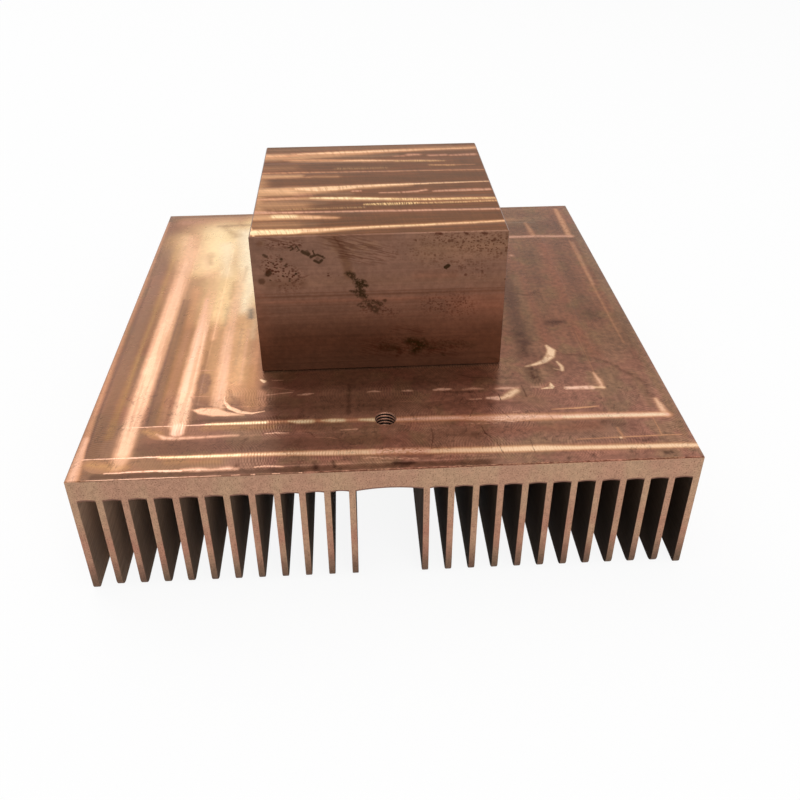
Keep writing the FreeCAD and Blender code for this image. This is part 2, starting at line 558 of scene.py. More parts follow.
@dataclass
class Canvas:
    """A face, or a window of it, that is being painted: where each point lies, and what breaks marks up."""

    bench: Bench
    flat: Socket
    patterns: dict[Breakup, Number]
    window: Window = (-100.0, -100.0, 100.0, 100.0)
    margin: float = 1.6

    def lay(self, under: object, layers: Sequence[Layer]) -> Socket:
        """Lays layers over a colour, one after another.

        Args:
            under: The colour so far.
            layers: The layers, the lowest first.

        Returns:
            The new colour.
        """
        for layer in layers:
            reach = self.margin + layer.waver
            near = [stroke for stroke in layer.strokes if stroke.touches(self.window, reach)]
            if near:
                mask = self.mask(layer, near)
                laid = self.bench.mix(mask, layer.tone.edge, layer.tone.value)
                under = self.bench.mix(mask, under, laid)
        return under

    def mask(self, layer: Layer, near: Sequence[Stroke]) -> Socket:
        """Where a layer lies.

        The coordinates for the next layer come from this one's strokes, less themselves, so Cycles works the
        layers out one after another too.

        Args:
            layer: The layer.
            near: Those of its strokes that touch the window.

        Returns:
            A mask from 0 to 1.
        """
        drawn = self.bench.wander(self.flat, layer.waver_scale, layer.waver)
        drawn = self.bench.vector("MULTIPLY", drawn, (1.0, 1.0, 0.0))
        mask, again = self.bench.strokes(drawn, near, layer.blur)
        self.flat = self.bench.vector("ADD", self.flat, self.bench.vector("SUBTRACT", again, drawn))
        if layer.fade:
            place = self.bench.axes(self.flat)[1]
            mask = self.bench.times(mask, self.bench.ramp(place, *layer.fade, 1.0, 0.0))
        return self.bench.times(mask, self.patterns.get(layer.broken, 1.0))


@dataclass(frozen=True)
class Pocket:
    """The rounded front-left corner of a milled pass, which shows a lighter floor inside it."""

    tone: Tone
    left: float
    front: float
    back: float
    fade: float
    bend: float = 7.0
    strength: float = 0.8

    def mask(self, bench: Bench, x: Socket, y: Socket) -> Socket:
        """Where the floor shows.

        The corner is the smooth minimum of the distances to the two borders, which rounds it.

        Args:
            bench: The material's bench.
            x: Places across.
            y: Places from front to back.

        Returns:
            A mask from 0 to the strength.
        """
        inside = bench.maths("SMOOTH_MIN", bench.less(x, self.left), bench.less(y, self.front), self.bend)
        shown = bench.ramp(inside, -0.05, 0.25)
        before = bench.ramp(y, self.back, self.back - 0.12)
        faded = bench.ramp(x, self.fade - 12.0, self.fade + 8.0, self.strength, self.strength * 0.2)
        return bench.times(bench.times(shown, before), faded)


# The milled top, from the lowest layer up: pass tones, dark and pale, partly their own, partly painted
# reflection.
MILLED_GROUND = (
    # Painted shade and painted reflection of the block on the plate in front of it.
    Layer(Tone.UMBER, trails((1.6, 0.5, (-20, -31.3, 4.6), (20.5, -31.3, 4.6))), Breakup.SMOOTH, waver=0.8),
    Layer(Tone.TAN, trails(
        (3.4, 0.8, (-45, 56, 15), (-44.5, -6, 12), (-42, -28, 6)),
    ), Breakup.SMOOTH, waver=2.0, waver_scale=0.1),
    Layer(Tone.BROWN, trails(
        (0.8, 0.85, (-59.6, 38, 1), (-59.7, -10, 1.4), (-59.7, -56, 1.4)),
        (0.7, 0.75, (-49.4, 7, 0.8), (-49.6, -46, 1.1)), (0.5, 0.75, (-41.2, -18, 0.4), (-41, -46, 0.9)),
        (0.7, 0.85, (-61.5, 61.9, 0.8), (-36, 62.3, 0.8)), (3, 0.4, (-60, 49, 1.4), (-34, 50.5, 2.4)),
    ), Breakup.SMOOTH, waver=0.6),
    Layer(Tone.DUSK, trails(
        (0.9, 0.5, (-49, -54.1, 2.2), (-22, -54.3, 2.2), (0, -54, 1.6)),
        (0.6, 0.6, (-40, -45.3, 0.7), (-18, -45.2, 0.9)), (2, 0.6, (-24, -40.5, 3.4), (4, -41, 3)),
        (2, 0.4, (4, -42, 1.6), (18, -43, 1.6)), (0.5, 0.8, (-58, -62.2, 0.8), (20, -62.2, 0.8)),
        (2.5, 0.6, (42, 46.5, 3), (56, 47.5, 3)), (1.4, 0.8, (35.3, 26, 1.6), (34.8, -18, 1.8)),
        (1.4, 0.5, (45, 30, 1.2), (44.6, 10, 0.9)), (1.8, 0.45, (54, 36, 1.4), (54.4, -8, 1.6)),
    ), Breakup.SMOOTH, waver=1.2),
    Layer(Tone.RUST, trails(
        (1.1, 0.8, (40.2, 14, 0.9), (40.2, -18, 1.2)), (1.4, 0.8, (50.2, 34, 1.8), (49.4, 2, 1.5)),
        (1.6, 0.8, (48.2, -8, 1.1), (50.8, -24, 1.5)), (1.6, 0.6, (24, -52.5, 1.2), (44, -52, 1.5)),
    ), Breakup.SMOOTH, waver=1.2),
    Layer(Tone.OLIVE, trails(
        (0.7, 0.75, (61.6, 38, 1), (61.8, -56, 0.9)), (2, 0.6, (30.5, -40.5, 2), (34, -43, 1.5)),
        (1.2, 0.6, (57.5, -33, 1), (58, -45, 1)), (1.4, 0.45, (38.8, 14, 1.2), (38, -20, 1)),
        (1.4, 0.7, (42, 52.8, 1.6), (54, 53.4, 1.2)),
    ), waver=0.8),
    Layer(Tone.OCHRE, trails(
        (0.6, 0.8, (-57.3, 42, 0.7), (-57.3, 0, 0.45), (-57.6, -50, 0.7)),
        (0.5, 0.5, (-48.6, 2, 0.3), (-48.4, -46, 0.4)), (3, 0.45, (-61, 44, 1.4), (-44, 47, 3)),
    ), Breakup.GRAIN, waver=0.5),
    Layer(Tone.COPPER, trails(
        (0.7, 0.8, (-47.3, 12, 0.9), (-47.4, -47, 0.7)), (1.8, 0.85, (-58, 57.5, 1.8), (-38, 58.5, 1.8)),
        (0.9, 0.8, (-31.6, 0, 3), (-31, -34, 3.4)), (0.5, 0.8, (-28.8, -37, 3), (-28.6, -40, 2.8)),
    ), Breakup.GRAIN, waver=0.4),
    Layer(Tone.SAND, trails(
        (2.6, 0.75, (-37, 20, 5), (-36.5, -14, 5), (-35, -34, 4.6)),
    ), Breakup.SMOOTH, waver=1.0),
    Layer(Tone.ORANGE, trails(
        (0.8, 0.8, (-33.6, 4, 1), (-33.4, -34, 1.2)), (0.6, 0.7, (-29.6, -6, 0.5), (-29.6, -33, 0.7)),
        (1, 0.7, (-48, 14, 1), (-47.6, -6, 0.8)),
    ), Breakup.GRAIN),
)

# Painted light on its left side, a window's painted reflection, and the pale strips of it between the passes
# there.
MILLED_PAINTED_SHEEN = (
    Layer(Tone.GOLD, trails(
        (5, 1, (-44, 48, 8), (-45, 27, 6)), (3.4, 1, (-35, 54, 5.5), (-34, 8, 4)),
        (4, 0.8, (-41, 24, 6), (-40, 0, 4.5)), (3, 0.45, (-33.6, 0, 2), (-32.6, -30, 1)),
        (5, 0.85, (-56, 46, 1.5), (-53, 36, 3), (-50, 26, 1.5)),
    ), Breakup.SMOOTH, waver=4.0, waver_scale=0.06),
    Layer(Tone.GLARE, trails(
        (2.8, 1, (-37, 48, 4.4), (-34, 20, 3.4), (-34.4, 2, 2)),
        (1.4, 0.5, (-31.2, 8, 0.8), (-31, -12, 0.6)), (5, 0.4, (-46, 52, 5), (-47, 30, 4)),
        (2.4, 0.8, (-43, 40, 3.4), (-41, 22, 1.6)),
    ), Breakup.SMOOTH, waver=2.0, waver_scale=0.12),
    Layer(Tone.PINK, trails(
        (3, 0.6, (-54.6, 46, 1.4), (-53, 36, 2), (-52, 26, 1)), (2.4, 0.4, (-48, 34, 1), (-46, 22, 1.4)),
    ), Breakup.SMOOTH, waver=2.0),
    Layer(Tone.OCHRE, trails(
        (1.4, 0.55, (-44.6, 53, 0.8), (-41, 47, 1.2)), (1, 0.45, (-47, 34, 0.8), (-46.6, 29, 0.6)),
        (0.8, 0.5, (-38.4, 17, 0.5), (-38.6, 8, 0.6)), (0.6, 0.35, (-36, 26, 0.3), (-36.2, 18, 0.4)),
    ), Breakup.WHOLE, waver=3.0, waver_scale=0.2),
    Layer(Tone.ORANGE, trails(
        (0.4, 0.6, (-62.9, 58, 0.4), (-62.9, -20, 0.6), (-62.7, -44, 0.8), (-61.9, -63.4, 1.5)),
    ), Breakup.SMOOTH, waver=0.2),
    Layer(Tone.BLUSH, trails(
        (0.7, 0.6, (-53.6, -56.6, 1.7), (-53.8, -59.2, 1.3)),
    ), Breakup.SMOOTH, waver=0.3),
    Layer(Tone.PINK, trails(
        (0.7, 0.75, (-54.2, 20, 0.5), (-54.4, -26, 0.7)), (1, 0.4, (-53.3, -34, 0.8), (-53.5, -56, 1)),
        (0.5, 0.6, (-62.2, -50, 0.6), (-62, -63, 1)),
    ), Breakup.GRAIN, waver=0.3),
    Layer(Tone.DUSK, trails(
        (0.25, 0.85, (-61.5, 20, 0.12), (-61.4, -40, 0.22), (-61, -54, 0.25), (-60.7, -57, 0.15)),
        (0.4, 0.9, (-50.8, 8, 0.2), (-50.8, -30, 0.4), (-50.5, -46, 0.2)),
    ), Breakup.SMOOTH, waver=0.2),
    Layer(Tone.BLUSH, trails(
        (0.8, 0.85, (-53.2, 56, 1.8), (-53.4, -20, 1.9), (-53.7, -54.9, 1.7)),
    ), Breakup.GRAIN, waver=0.3, fade=(20.0, 60.0)),
    Layer(Tone.BLUSH, trails(
        (0.65, 0.95, (-44, 34, 1.4), (-43.9, -30, 1.7), (-43.9, -46.3, 1.9)),
        (0.7, 0.85, (-36.9, 26, 1.1), (-36.8, -20, 1.4), (-36.2, -40, 1.6)),
        (0.8, 0.55, (-40.9, 28, 0.8), (-40.8, -12, 0.8)),
    ), Breakup.GRAIN, waver=0.4, fade=(-14.0, 34.0)),
)

# Painted highlights: the bright rough strips along the front, and the glints at the borders of the passes.
MILLED_PAINTED_GLINTS = (
    Layer(Tone.BLUSH, trails(
        (0.35, 0.85, (-41.6, -41.2, 0.1), (-39.6, -41.8, 1), (-36.6, -42.4, 1.4), (-33.8, -43.2, 0.7),
         (-30.4, -43.6, 0.12)),
        (0.16, 1, (-35.2, -36.5, 0.12), (-34.9, -38.8, 0.3), (-33.6, -41, 0.5), (-31.4, -42.5, 0.55),
         (-28.6, -43.2, 0.3), (-26, -42.6, 0.1)),
    ), Breakup.SMOOTH, waver=0.5, blur=1.2),
    Layer(Tone.OCHRE, trails(
        (0.9, 0.6, (-59.4, -58.4, 0.9), (-55, -59.4, 1), (-52, -59.6, 0.5)),
        (0.9, 0.6, (-50.4, -48, 0.7), (-47.6, -49.6, 0.9)),
        (0.8, 0.5, (-38, -47.8, 0.7), (-24, -48.2, 0.7)), (1.2, 0.5, (-30.4, -26, 1.6), (-29, -40, 1.8)),
        (0.8, 0.45, (-44, -58.4, 0.6), (-34, -58.8, 0.6)),
    ), waver=1.0),
    Layer(Tone.PINK, trails(
        (0.7, 0.75, (-44.6, 8, 0.4), (-44.3, -34, 0.7)), (0.5, 0.8, (-43.7, -47, 1.3), (-43.7, -49, 1.4)),
        (0.5, 0.7, (-36.4, -20, 0.4), (-36.4, -38, 0.5)),
        (0.45, 0.7, (-47.8, -49.4, 0.1), (-46, -50.7, 0.45), (-43, -51, 0.35), (-38, -50.8, 0.2),
         (-31, -50.6, 0.1)),
        (0.5, 0.5, (-32.4, -8, 0.2), (-32.3, -32, 0.3)),
    ), Breakup.GRAIN, waver=0.3),
    Layer(Tone.BROWN, trails(
        (0.4, 0.95, (-40.6, -28.4, 1.2), (-40.4, -31, 1.6), (-40, -34.6, 0.9)),
        (0.9, 0.7, (-47, 54.3, 0.4), (-37, 54.6, 0.6)), (0.2, 0.6, (-41.6, -24, 0.15), (-41.5, -46.2, 0.2)),
        (0.25, 0.9, (-42.6, -36.5, 0.1), (-41.4, -38.8, 0.3), (-38.8, -40.2, 0.3), (-36, -40.7, 0.1)),
        (0.3, 0.6, (-34.6, -34, 0.1), (-33.6, -37, 0.3), (-32.2, -39, 0.1)),
    ), waver=0.6),
    Layer(Tone.SLATE, trails(
        (0.8, 0.9, (-32.6, 1.4, 0.7), (-32.3, -2.4, 0.8)), (0.6, 0.35, (-38.6, 3, 0.3), (-38.5, -6, 0.2)),
        (0.4, 0.25, (-34, -8, 0.2), (-34, -24, 0.2)),
    ), waver=0.6),
    Layer(Tone.ORANGE, trails(
        (0.5, 0.8, (59.4, 60.2, 0.6), (59.4, 52, 0.9), (59.3, 40.2, 0.8)),
        (0.5, 0.6, (47.8, 50.3, 0.4), (48.3, 46, 0.7), (48.5, 41.4, 0.7)),
        (0.16, 1, (36, -45.7, 0.1), (41, -45.6, 0.3), (46.3, -45.2, 0.18)),
        (0.14, 1, (39, -56.2, 0.08), (56.9, -55.9, 0.18), (61, -55.9, 0.1)),
        (0.12, 0.75, (56.8, -49.5, 0.06), (56.9, -56, 0.1)),
        (0.25, 0.6, (48.3, -52.8, 0.2), (48.8, -56.4, 0.25)),
        (0.3, 0.42, (58.6, 37, 0.25), (58.7, 0, 0.3), (58.9, -20, 0.15)),
        (0.1, 0.6, (35.2, -38, 0.05), (38, -35.2, 0.05)), (0.12, 0.4, (48.5, -14, 0.05), (48.6, -33, 0.08)),
        (0.8, 0.3, (43, 53.6, 1.2), (45, 53.4, 0.8)),
    ), waver=0.15),
    Layer(Tone.ROSE, trails(
        (0.5, 0.8, (41.5, 40.7, 0.8), (50, 40.7, 0.7), (60, 40.2, 0.7)), (0.5, 0.7, (39.7, 28.3, 0.6)),
        (0.5, 0.35, (48.6, 28.6, 0.5)), (0.12, 0.95, (-26, -36.7, 0.12), (-20.2, -36, 0.16)),
        (0.14, 0.45, (-24.8, -33.8, 0.06), (-20, -35.4, 0.1)),
        (0.14, 0.7, (-25, -31.1, 0.15), (-22.6, -31.1, 0.1)),
        (0.14, 0.7, (-46, -26, 0.08), (-38.5, -26, 0.12)),
        (0.12, 0.55, (-43, -36.3, 0.08), (-31, -36.5, 0.1)), (0.16, 0.35, (9, -41.1, 0.1), (14, -41, 0.1)),
        (0.16, 0.3, (3.5, -41, 0.1), (6.5, -41, 0.1)),
        (0.1, 0.6, (-14.9, -52.2, 0.06), (-12, -52.4, 0.1), (-10.4, -53.1, 0.06)),
        (0.3, 0.4, (3, -48.8, 0.2), (7, -49.9, 0.35), (12, -49.2, 0.2)),
        (0.14, 0.7, (27.5, -46.1, 0.12), (29, -45.9, 0.15)),
        (0.4, 0.45, (-10.8, -60.9, 0.3), (-8, -60.8, 0.3)),
        (0.3, 0.3, (-18.5, -50, 0.2), (-14.8, -50.1, 0.2)),
    ), waver=0.25),
    Layer(Tone.PINK, trails(
        (0.12, 0.85, (-55.5, -46.7, 0.08), (-42, -46.7, 0.14), (-36.6, -46.6, 0.25)),
        (0.25, 0.45, (-25.2, -46.4, 0.25), (-20.6, -46.5, 0.25)),
        (0.3, 0.35, (-15.4, -46.8, 0.3), (-13.4, -46.8, 0.3)),
        (0.12, 0.9, (-61.4, -56.7, 0.08), (-46, -56.7, 0.2)),
        (0.16, 0.85, (-56, -61.2, 0.1), (-47, -61, 0.2), (-41, -61.2, 0.3)),
        (0.5, 0.85, (-41, -61, 0.2), (-37.4, -61.1, 0.45), (-35.2, -61.3, 0.15), (-32, -61.1, 0.4),
         (-30, -61.4, 0.05)),
        (0.2, 0.7, (-26.5, -61, 0.1), (-24, -60.8, 0.25), (-21, -61.2, 0.1)),
        (0.16, 0.8, (-25.2, -50.4, 0.12), (-23, -50.3, 0.22), (-20.5, -50.5, 0.1)),
        (0.16, 0.65, (-9.6, -50.2, 0.1), (-6.2, -50.1, 0.2)),
        (0.2, 0.8, (-19, -37.1, 0.12), (-17.2, -36.9, 0.35), (-15.6, -36.7, 0.1)),
        (0.2, 0.75, (-3.6, -36.9, 0.1), (-2, -36.7, 0.3), (-0.6, -36.9, 0.1)),
        (0.2, 0.75, (4, -37, 0.1), (5.4, -36.9, 0.35), (6.3, -37, 0.2)),
        (0.25, 0.9, (11.3, -37, 0.25), (13, -36.9, 0.5), (14.9, -36.9, 0.3)),
        (0.35, 0.65, (17.8, -37.3, 0.15), (20, -37, 0.4), (22.2, -37.3, 0.15)),
        (0.4, 0.75, (25.2, -37.4, 0.3), (28, -37.3, 0.4), (30, -37.4, 0.2)),
        (0.3, 0.5, (33.2, -37.3, 0.2), (35.4, -37.4, 0.3)), (0.3, 1, (40.8, -38, 0.55), (46.6, -38.2, 0.7)),
        (0.16, 0.7, (18.8, -41, 0.12), (21.3, -41, 0.18)),
        (0.3, 0.95, (22.8, -40.8, 0.45), (25, -41, 0.75)),
    ), waver=0.3),
    Layer(Tone.BLUSH, trails(
        (0.4, 0.9, (48.4, -32.4, 0.15), (48.9, -35.5, 0.55), (49, -38.2, 0.5)),
        (0.45, 0.95, (59.5, -43.2, 0.35), (59.8, -46, 0.75), (59.9, -49, 0.7)),
        (0.45, 0.35, (59.3, 36, 0.3), (59, 10, 0.35)), (0.2, 0.15, (47.6, -14, 0.05), (48.4, -32, 0.1)),
    ), waver=0.3),
    Layer(Tone.PALE, trails(
        (0.5, 0.85, (25.9, -41.1, 0.5), (27.4, -40.2, 0.85), (29.4, -38.4, 0.8)),
        (0.2, 0.95, (35.2, -38.1, 0.06), (37.6, -37.6, 0.55)),
        (0.2, 1, (37.7, -35.9, 0.1), (37.7, -37.3, 0.6)), (0.3, 0.8, (47, -38.1, 0.3), (49.3, -38.3, 0.35)),
        (0.35, 0.95, (40, -20.4, 0.3), (40.7, -22.6, 1), (40, -24.8, 1), (38.2, -27, 0.75),
         (35.8, -28.2, 0.45), (33.4, -29, 0.15)),
        (0.25, 0.8, (41, -27.3, 0.2), (41.7, -29.4, 0.45), (41.5, -31, 0.4)),
        (0.14, 0.6, (41.5, -31.1, 0.15), (39.6, -30.3, 0.1)),
        (0.2, 1, (-27.7, -30.6, 0.2), (-26.8, -31.4, 0.5)), (0.2, 0.9, (48.2, -56.2, 0.3)),
    ), waver=0.12),
    Layer(Tone.ORANGE, trails(
        (0.5, 0.9, (2.4, -47.4, 0.9), (16, -47.6, 0.9), (30, -48.2, 1.3), (60.5, -48.9, 0.9)),
        (0.5, 0.8, (-46, -57, 0.3), (-20, -57.2, 0.6), (8, -58.1, 0.9), (32, -58.6, 1), (63.3, -59.5, 0.8)),
        (0.4, 0.7, (-36.5, -46.6, 0.5), (-20, -46.6, 0.5), (-2.2, -47.1, 0.6)),
    ), waver=0.3),
    Layer(Tone.PINK, trails(
        (0.4, 1, (2.4, -47.3, 0.45), (9, -47.3, 0.65), (16, -47.5, 0.6)),
        (0.35, 1, (36, -48.4, 0.6), (48, -48.6, 0.75), (60.1, -48.9, 0.65)),
        (0.5, 0.8, (16, -47.6, 0.5), (30, -48.1, 0.8), (37, -48.4, 0.6)),
        (0.3, 0.6, (-9, -46.9, 0.2), (-5.5, -46.9, 0.3)),
    ), Breakup.HATCH, waver=0.2),
    Layer(Tone.GLARE, trails(
        (0.3, 0.85, (9, -58.15, 0.5), (24, -58.5, 0.55), (44, -59, 0.4), (62, -59.5, 0.5)),
        (0.3, 0.8, (38, -48.6, 0.35), (59.4, -48.9, 0.45)),
        (0.3, 0.6, (-10, -57.6, 0.25), (6, -57.9, 0.25)),
    ), Breakup.HATCH, waver=0.2),
    Layer(Tone.PALE, trails(
        (0.4, 1, (36, -58.9, 0.45), (50, -59.2, 0.5), (63.3, -59.5, 0.55)),
        (0.35, 1, (-30, -57, 0.3), (-21, -57.2, 0.4), (-12, -57.5, 0.75), (-3, -57.7, 0.75)),
        (0.4, 1, (8, -58.1, 0.6), (20, -58.4, 0.8), (32, -58.6, 0.8), (40, -58.9, 0.4)),
    ), Breakup.HATCH, waver=0.2),
    Layer(Tone.CREAM, trails(
        (0.25, 1, (-38, -46.6, 0.2), (-30.5, -46.6, 0.38), (-25.4, -46.6, 0.4)),
        (0.35, 1, (-20.6, -46.5, 0.15), (-18.5, -46.8, 0.6), (-15.7, -46.8, 0.6)),
        (0.35, 1, (-13.5, -46.7, 0.2), (-11.5, -46.8, 0.6), (-9, -46.9, 0.5)),
        (0.35, 1, (-5.4, -46.9, 0.35), (-2.2, -47.1, 0.6)),
        (0.3, 1, (-46, -56.9, 0.15), (-38, -57.1, 0.3), (-30, -57.1, 0.35)),
    ), Breakup.HATCH, waver=0.2),
    Layer(Tone.PINK, trails(
        (0.4, 1, (-3, -57.6, 0.75), (8, -57.9, 0.8)),
        (0.5, 1, (16, -47.6, 0.5), (23, -48.3, 0.9), (29, -48, 0.8), (37, -48.3, 0.4)),
        (0.3, 0.6, (-5, -59.4, 0.3), (-1, -59.8, 0.3), (6, -60.4, 0.3)),
        (0.3, 0.4, (9.5, -59.8, 0.3), (12.5, -59.5, 0.2), (20, -60.3, 0.15)),
        (0.3, 0.6, (17, -49.6, 0.2), (24, -49.8, 0.2)),
        (0.3, 0.9, (17, -47.4, 0.2), (27, -49.3, 0.3), (35, -48, 0.2)),
    ), Breakup.SPARKLE, waver=0.3),
    Layer(Tone.PINK, trails(
        (0.07, 1, (-60, -63.1, 0.02), (-57, -63.1, 0.06), (-48, -63.1, 0.07), (-40, -63.1, 0.05),
         (-33, -63.1, 0.02)),
        (0.07, 0.9, (-31, -63.1, 0.03), (-29.4, -63.1, 0.05)),
        (0.07, 0.9, (-27.2, -63.1, 0.04), (-26.4, -63.1, 0.05)),
        (0.07, 0.9, (-23, -63.1, 0.03), (-21.6, -63.1, 0.05)),
        (0.07, 0.8, (-17.8, -63.1, 0.04), (-17.2, -63.1, 0.05)),
    ), Breakup.WHOLE, waver=0.08, waver_scale=1.0),
)

# Dark smears, spots and scratches.
MILLED_DIRT = (
    Layer(Tone.UMBER, trails(
        (1.1, 1, (34.4, -30.4, 1.1), (34.9, -34.6, 0.9)), (1.6, 0.45, (36, -23, 0.8), (40, -31.5, 0.8)),
        (1.6, 0.7, (35, -18, 1), (33.6, -24, 1.2)),
        (0.7, 0.6, (43, -24, 0.2), (47, -25, 0.4), (52, -27.6, 0.35), (57, -33.6, 0.4),
         (58.6, -36.4, 0.25)),
        (1.2, 0.8, (43, -9.8, 1), (46, -9.2, 1)),
        (0.6, 0.65, (36, 6.4, 0.3), (40, 4.8, 0.4), (43, 6.4, 0.4)),
        (0.9, 0.45, (33.5, -14.5, 0.8), (34.5, -15, 0.8)), (1.4, 0.35, (37, 9, 0.6), (36, 2, 0.8)),
        (2, 0.3, (61, 18, 1.2), (62, 14, 1.4)), (2, 0.35, (62, -6, 1.2), (60, -30, 1)),
        (2, 0.35, (54, -6, 1.4), (56, -8, 1)), (1.2, 0.4, (46, -50.8, 0.9), (52, -52.5, 0.9)),
        (0.6, 0.4, (54.5, -57, 0.5), (50, -56.9, 0.4)), (0.6, 0.4, (59, -36, 0.4), (58.6, -42, 0.6)),
        (1.2, 0.4, (22, -42.4, 1), (30, -43.6, 0.8)), (1.2, 0.35, (12, -52.6, 0.8), (18, -53.4, 0.8)),
        (0.9, 0.5, (-23.5, -44.8, 0.5), (-21, -44.9, 0.4)),
        (0.8, 0.6, (-26.6, -33.8, 0.7), (-25.6, -34.2, 0.7)),
        (0.5, 0.5, (-29, -52, 0.2), (-29.8, -55, 0.3)), (0.4, 0.6, (-30, -58.5, 0.2), (-30.2, -60.4, 0.3)),
    ), Breakup.CLOUD, waver=1.8, waver_scale=0.4, blur=1.2),
    Layer(Tone.SOOT, trails(
        (0.6, 0.8, (1.2, -61.6, 0.5), (4.6, -61.6, 0.6)),
        (0.5, 0.7, (-14.8, -60.2, 0.3), (-14.4, -62.3, 0.5)),
        (0.4, 0.65, (-11.2, -60.2, 0.3), (-10.8, -61.8, 0.4)),
        (0.4, 0.6, (56, -61.4, 0.6), (57, -61.4, 0.6)), (0.4, 0.6, (41.2, -61.2, 0.4)),
        (0.4, 0.5, (36, -62, 0.4)), (0.6, 0.5, (-7.6, -34, 0.3), (-8, -44.5, 0.35)),
        (0.5, 0.6, (13.5, -38.1, 0.3), (20, -38.4, 0.3)),
        (0.3, 0.5, (16.5, -30.8, 0.1), (20, -32.6, 0.2), (26, -33.4, 0.1)), (0.3, 0.5, (29.8, -31.8, 0.3)),
    ), waver=0.8, blur=1.0),
    Layer(Tone.UMBER, trails(
        (0.12, 0.7, (9.4, -50.5, 0.06), (9.5, -54, 0.12), (8.8, -57.4, 0.08)),
        (0.12, 0.8, (16.4, -42, 0.08), (17.4, -40.2, 0.05)),
        (0.1, 0.75, (18, -47.2, 0.07), (19.4, -44, 0.07)),
        (0.12, 0.8, (20, -50.8, 0.08), (20.4, -53, 0.12), (21.6, -54.6, 0.08)),
        (0.1, 0.85, (22.4, -56, 0.06), (23.2, -59.6, 0.08)),
        (0.1, 0.9, (25.4, -39.4, 0.06), (25.5, -41.8, 0.16)),
        (0.1, 0.7, (24.6, -45, 0.06), (26.6, -48.4, 0.08)),
        (0.2, 0.7, (31, -36.6, 0.1), (31.4, -40.6, 0.16)),
        (0.1, 0.7, (29.4, -55.6, 0.05), (29.6, -60, 0.08)),
        (0.12, 0.7, (-17.6, -50.2, 0.05), (-15.8, -50.8, 0.1), (-15, -52.2, 0.05)),
        (0.1, 0.7, (34.8, -47.2, 0.05), (35.6, -49.2, 0.06)),
        (0.1, 0.5, (-36.4, -46, 0.06), (-37.2, -48, 0.06)),
        (0.06, 0.85, (-14, -63.2, 0.1), (63, -63.2, 0.12)),
    ), waver=0.5, waver_scale=1.2, blur=1.0),
)


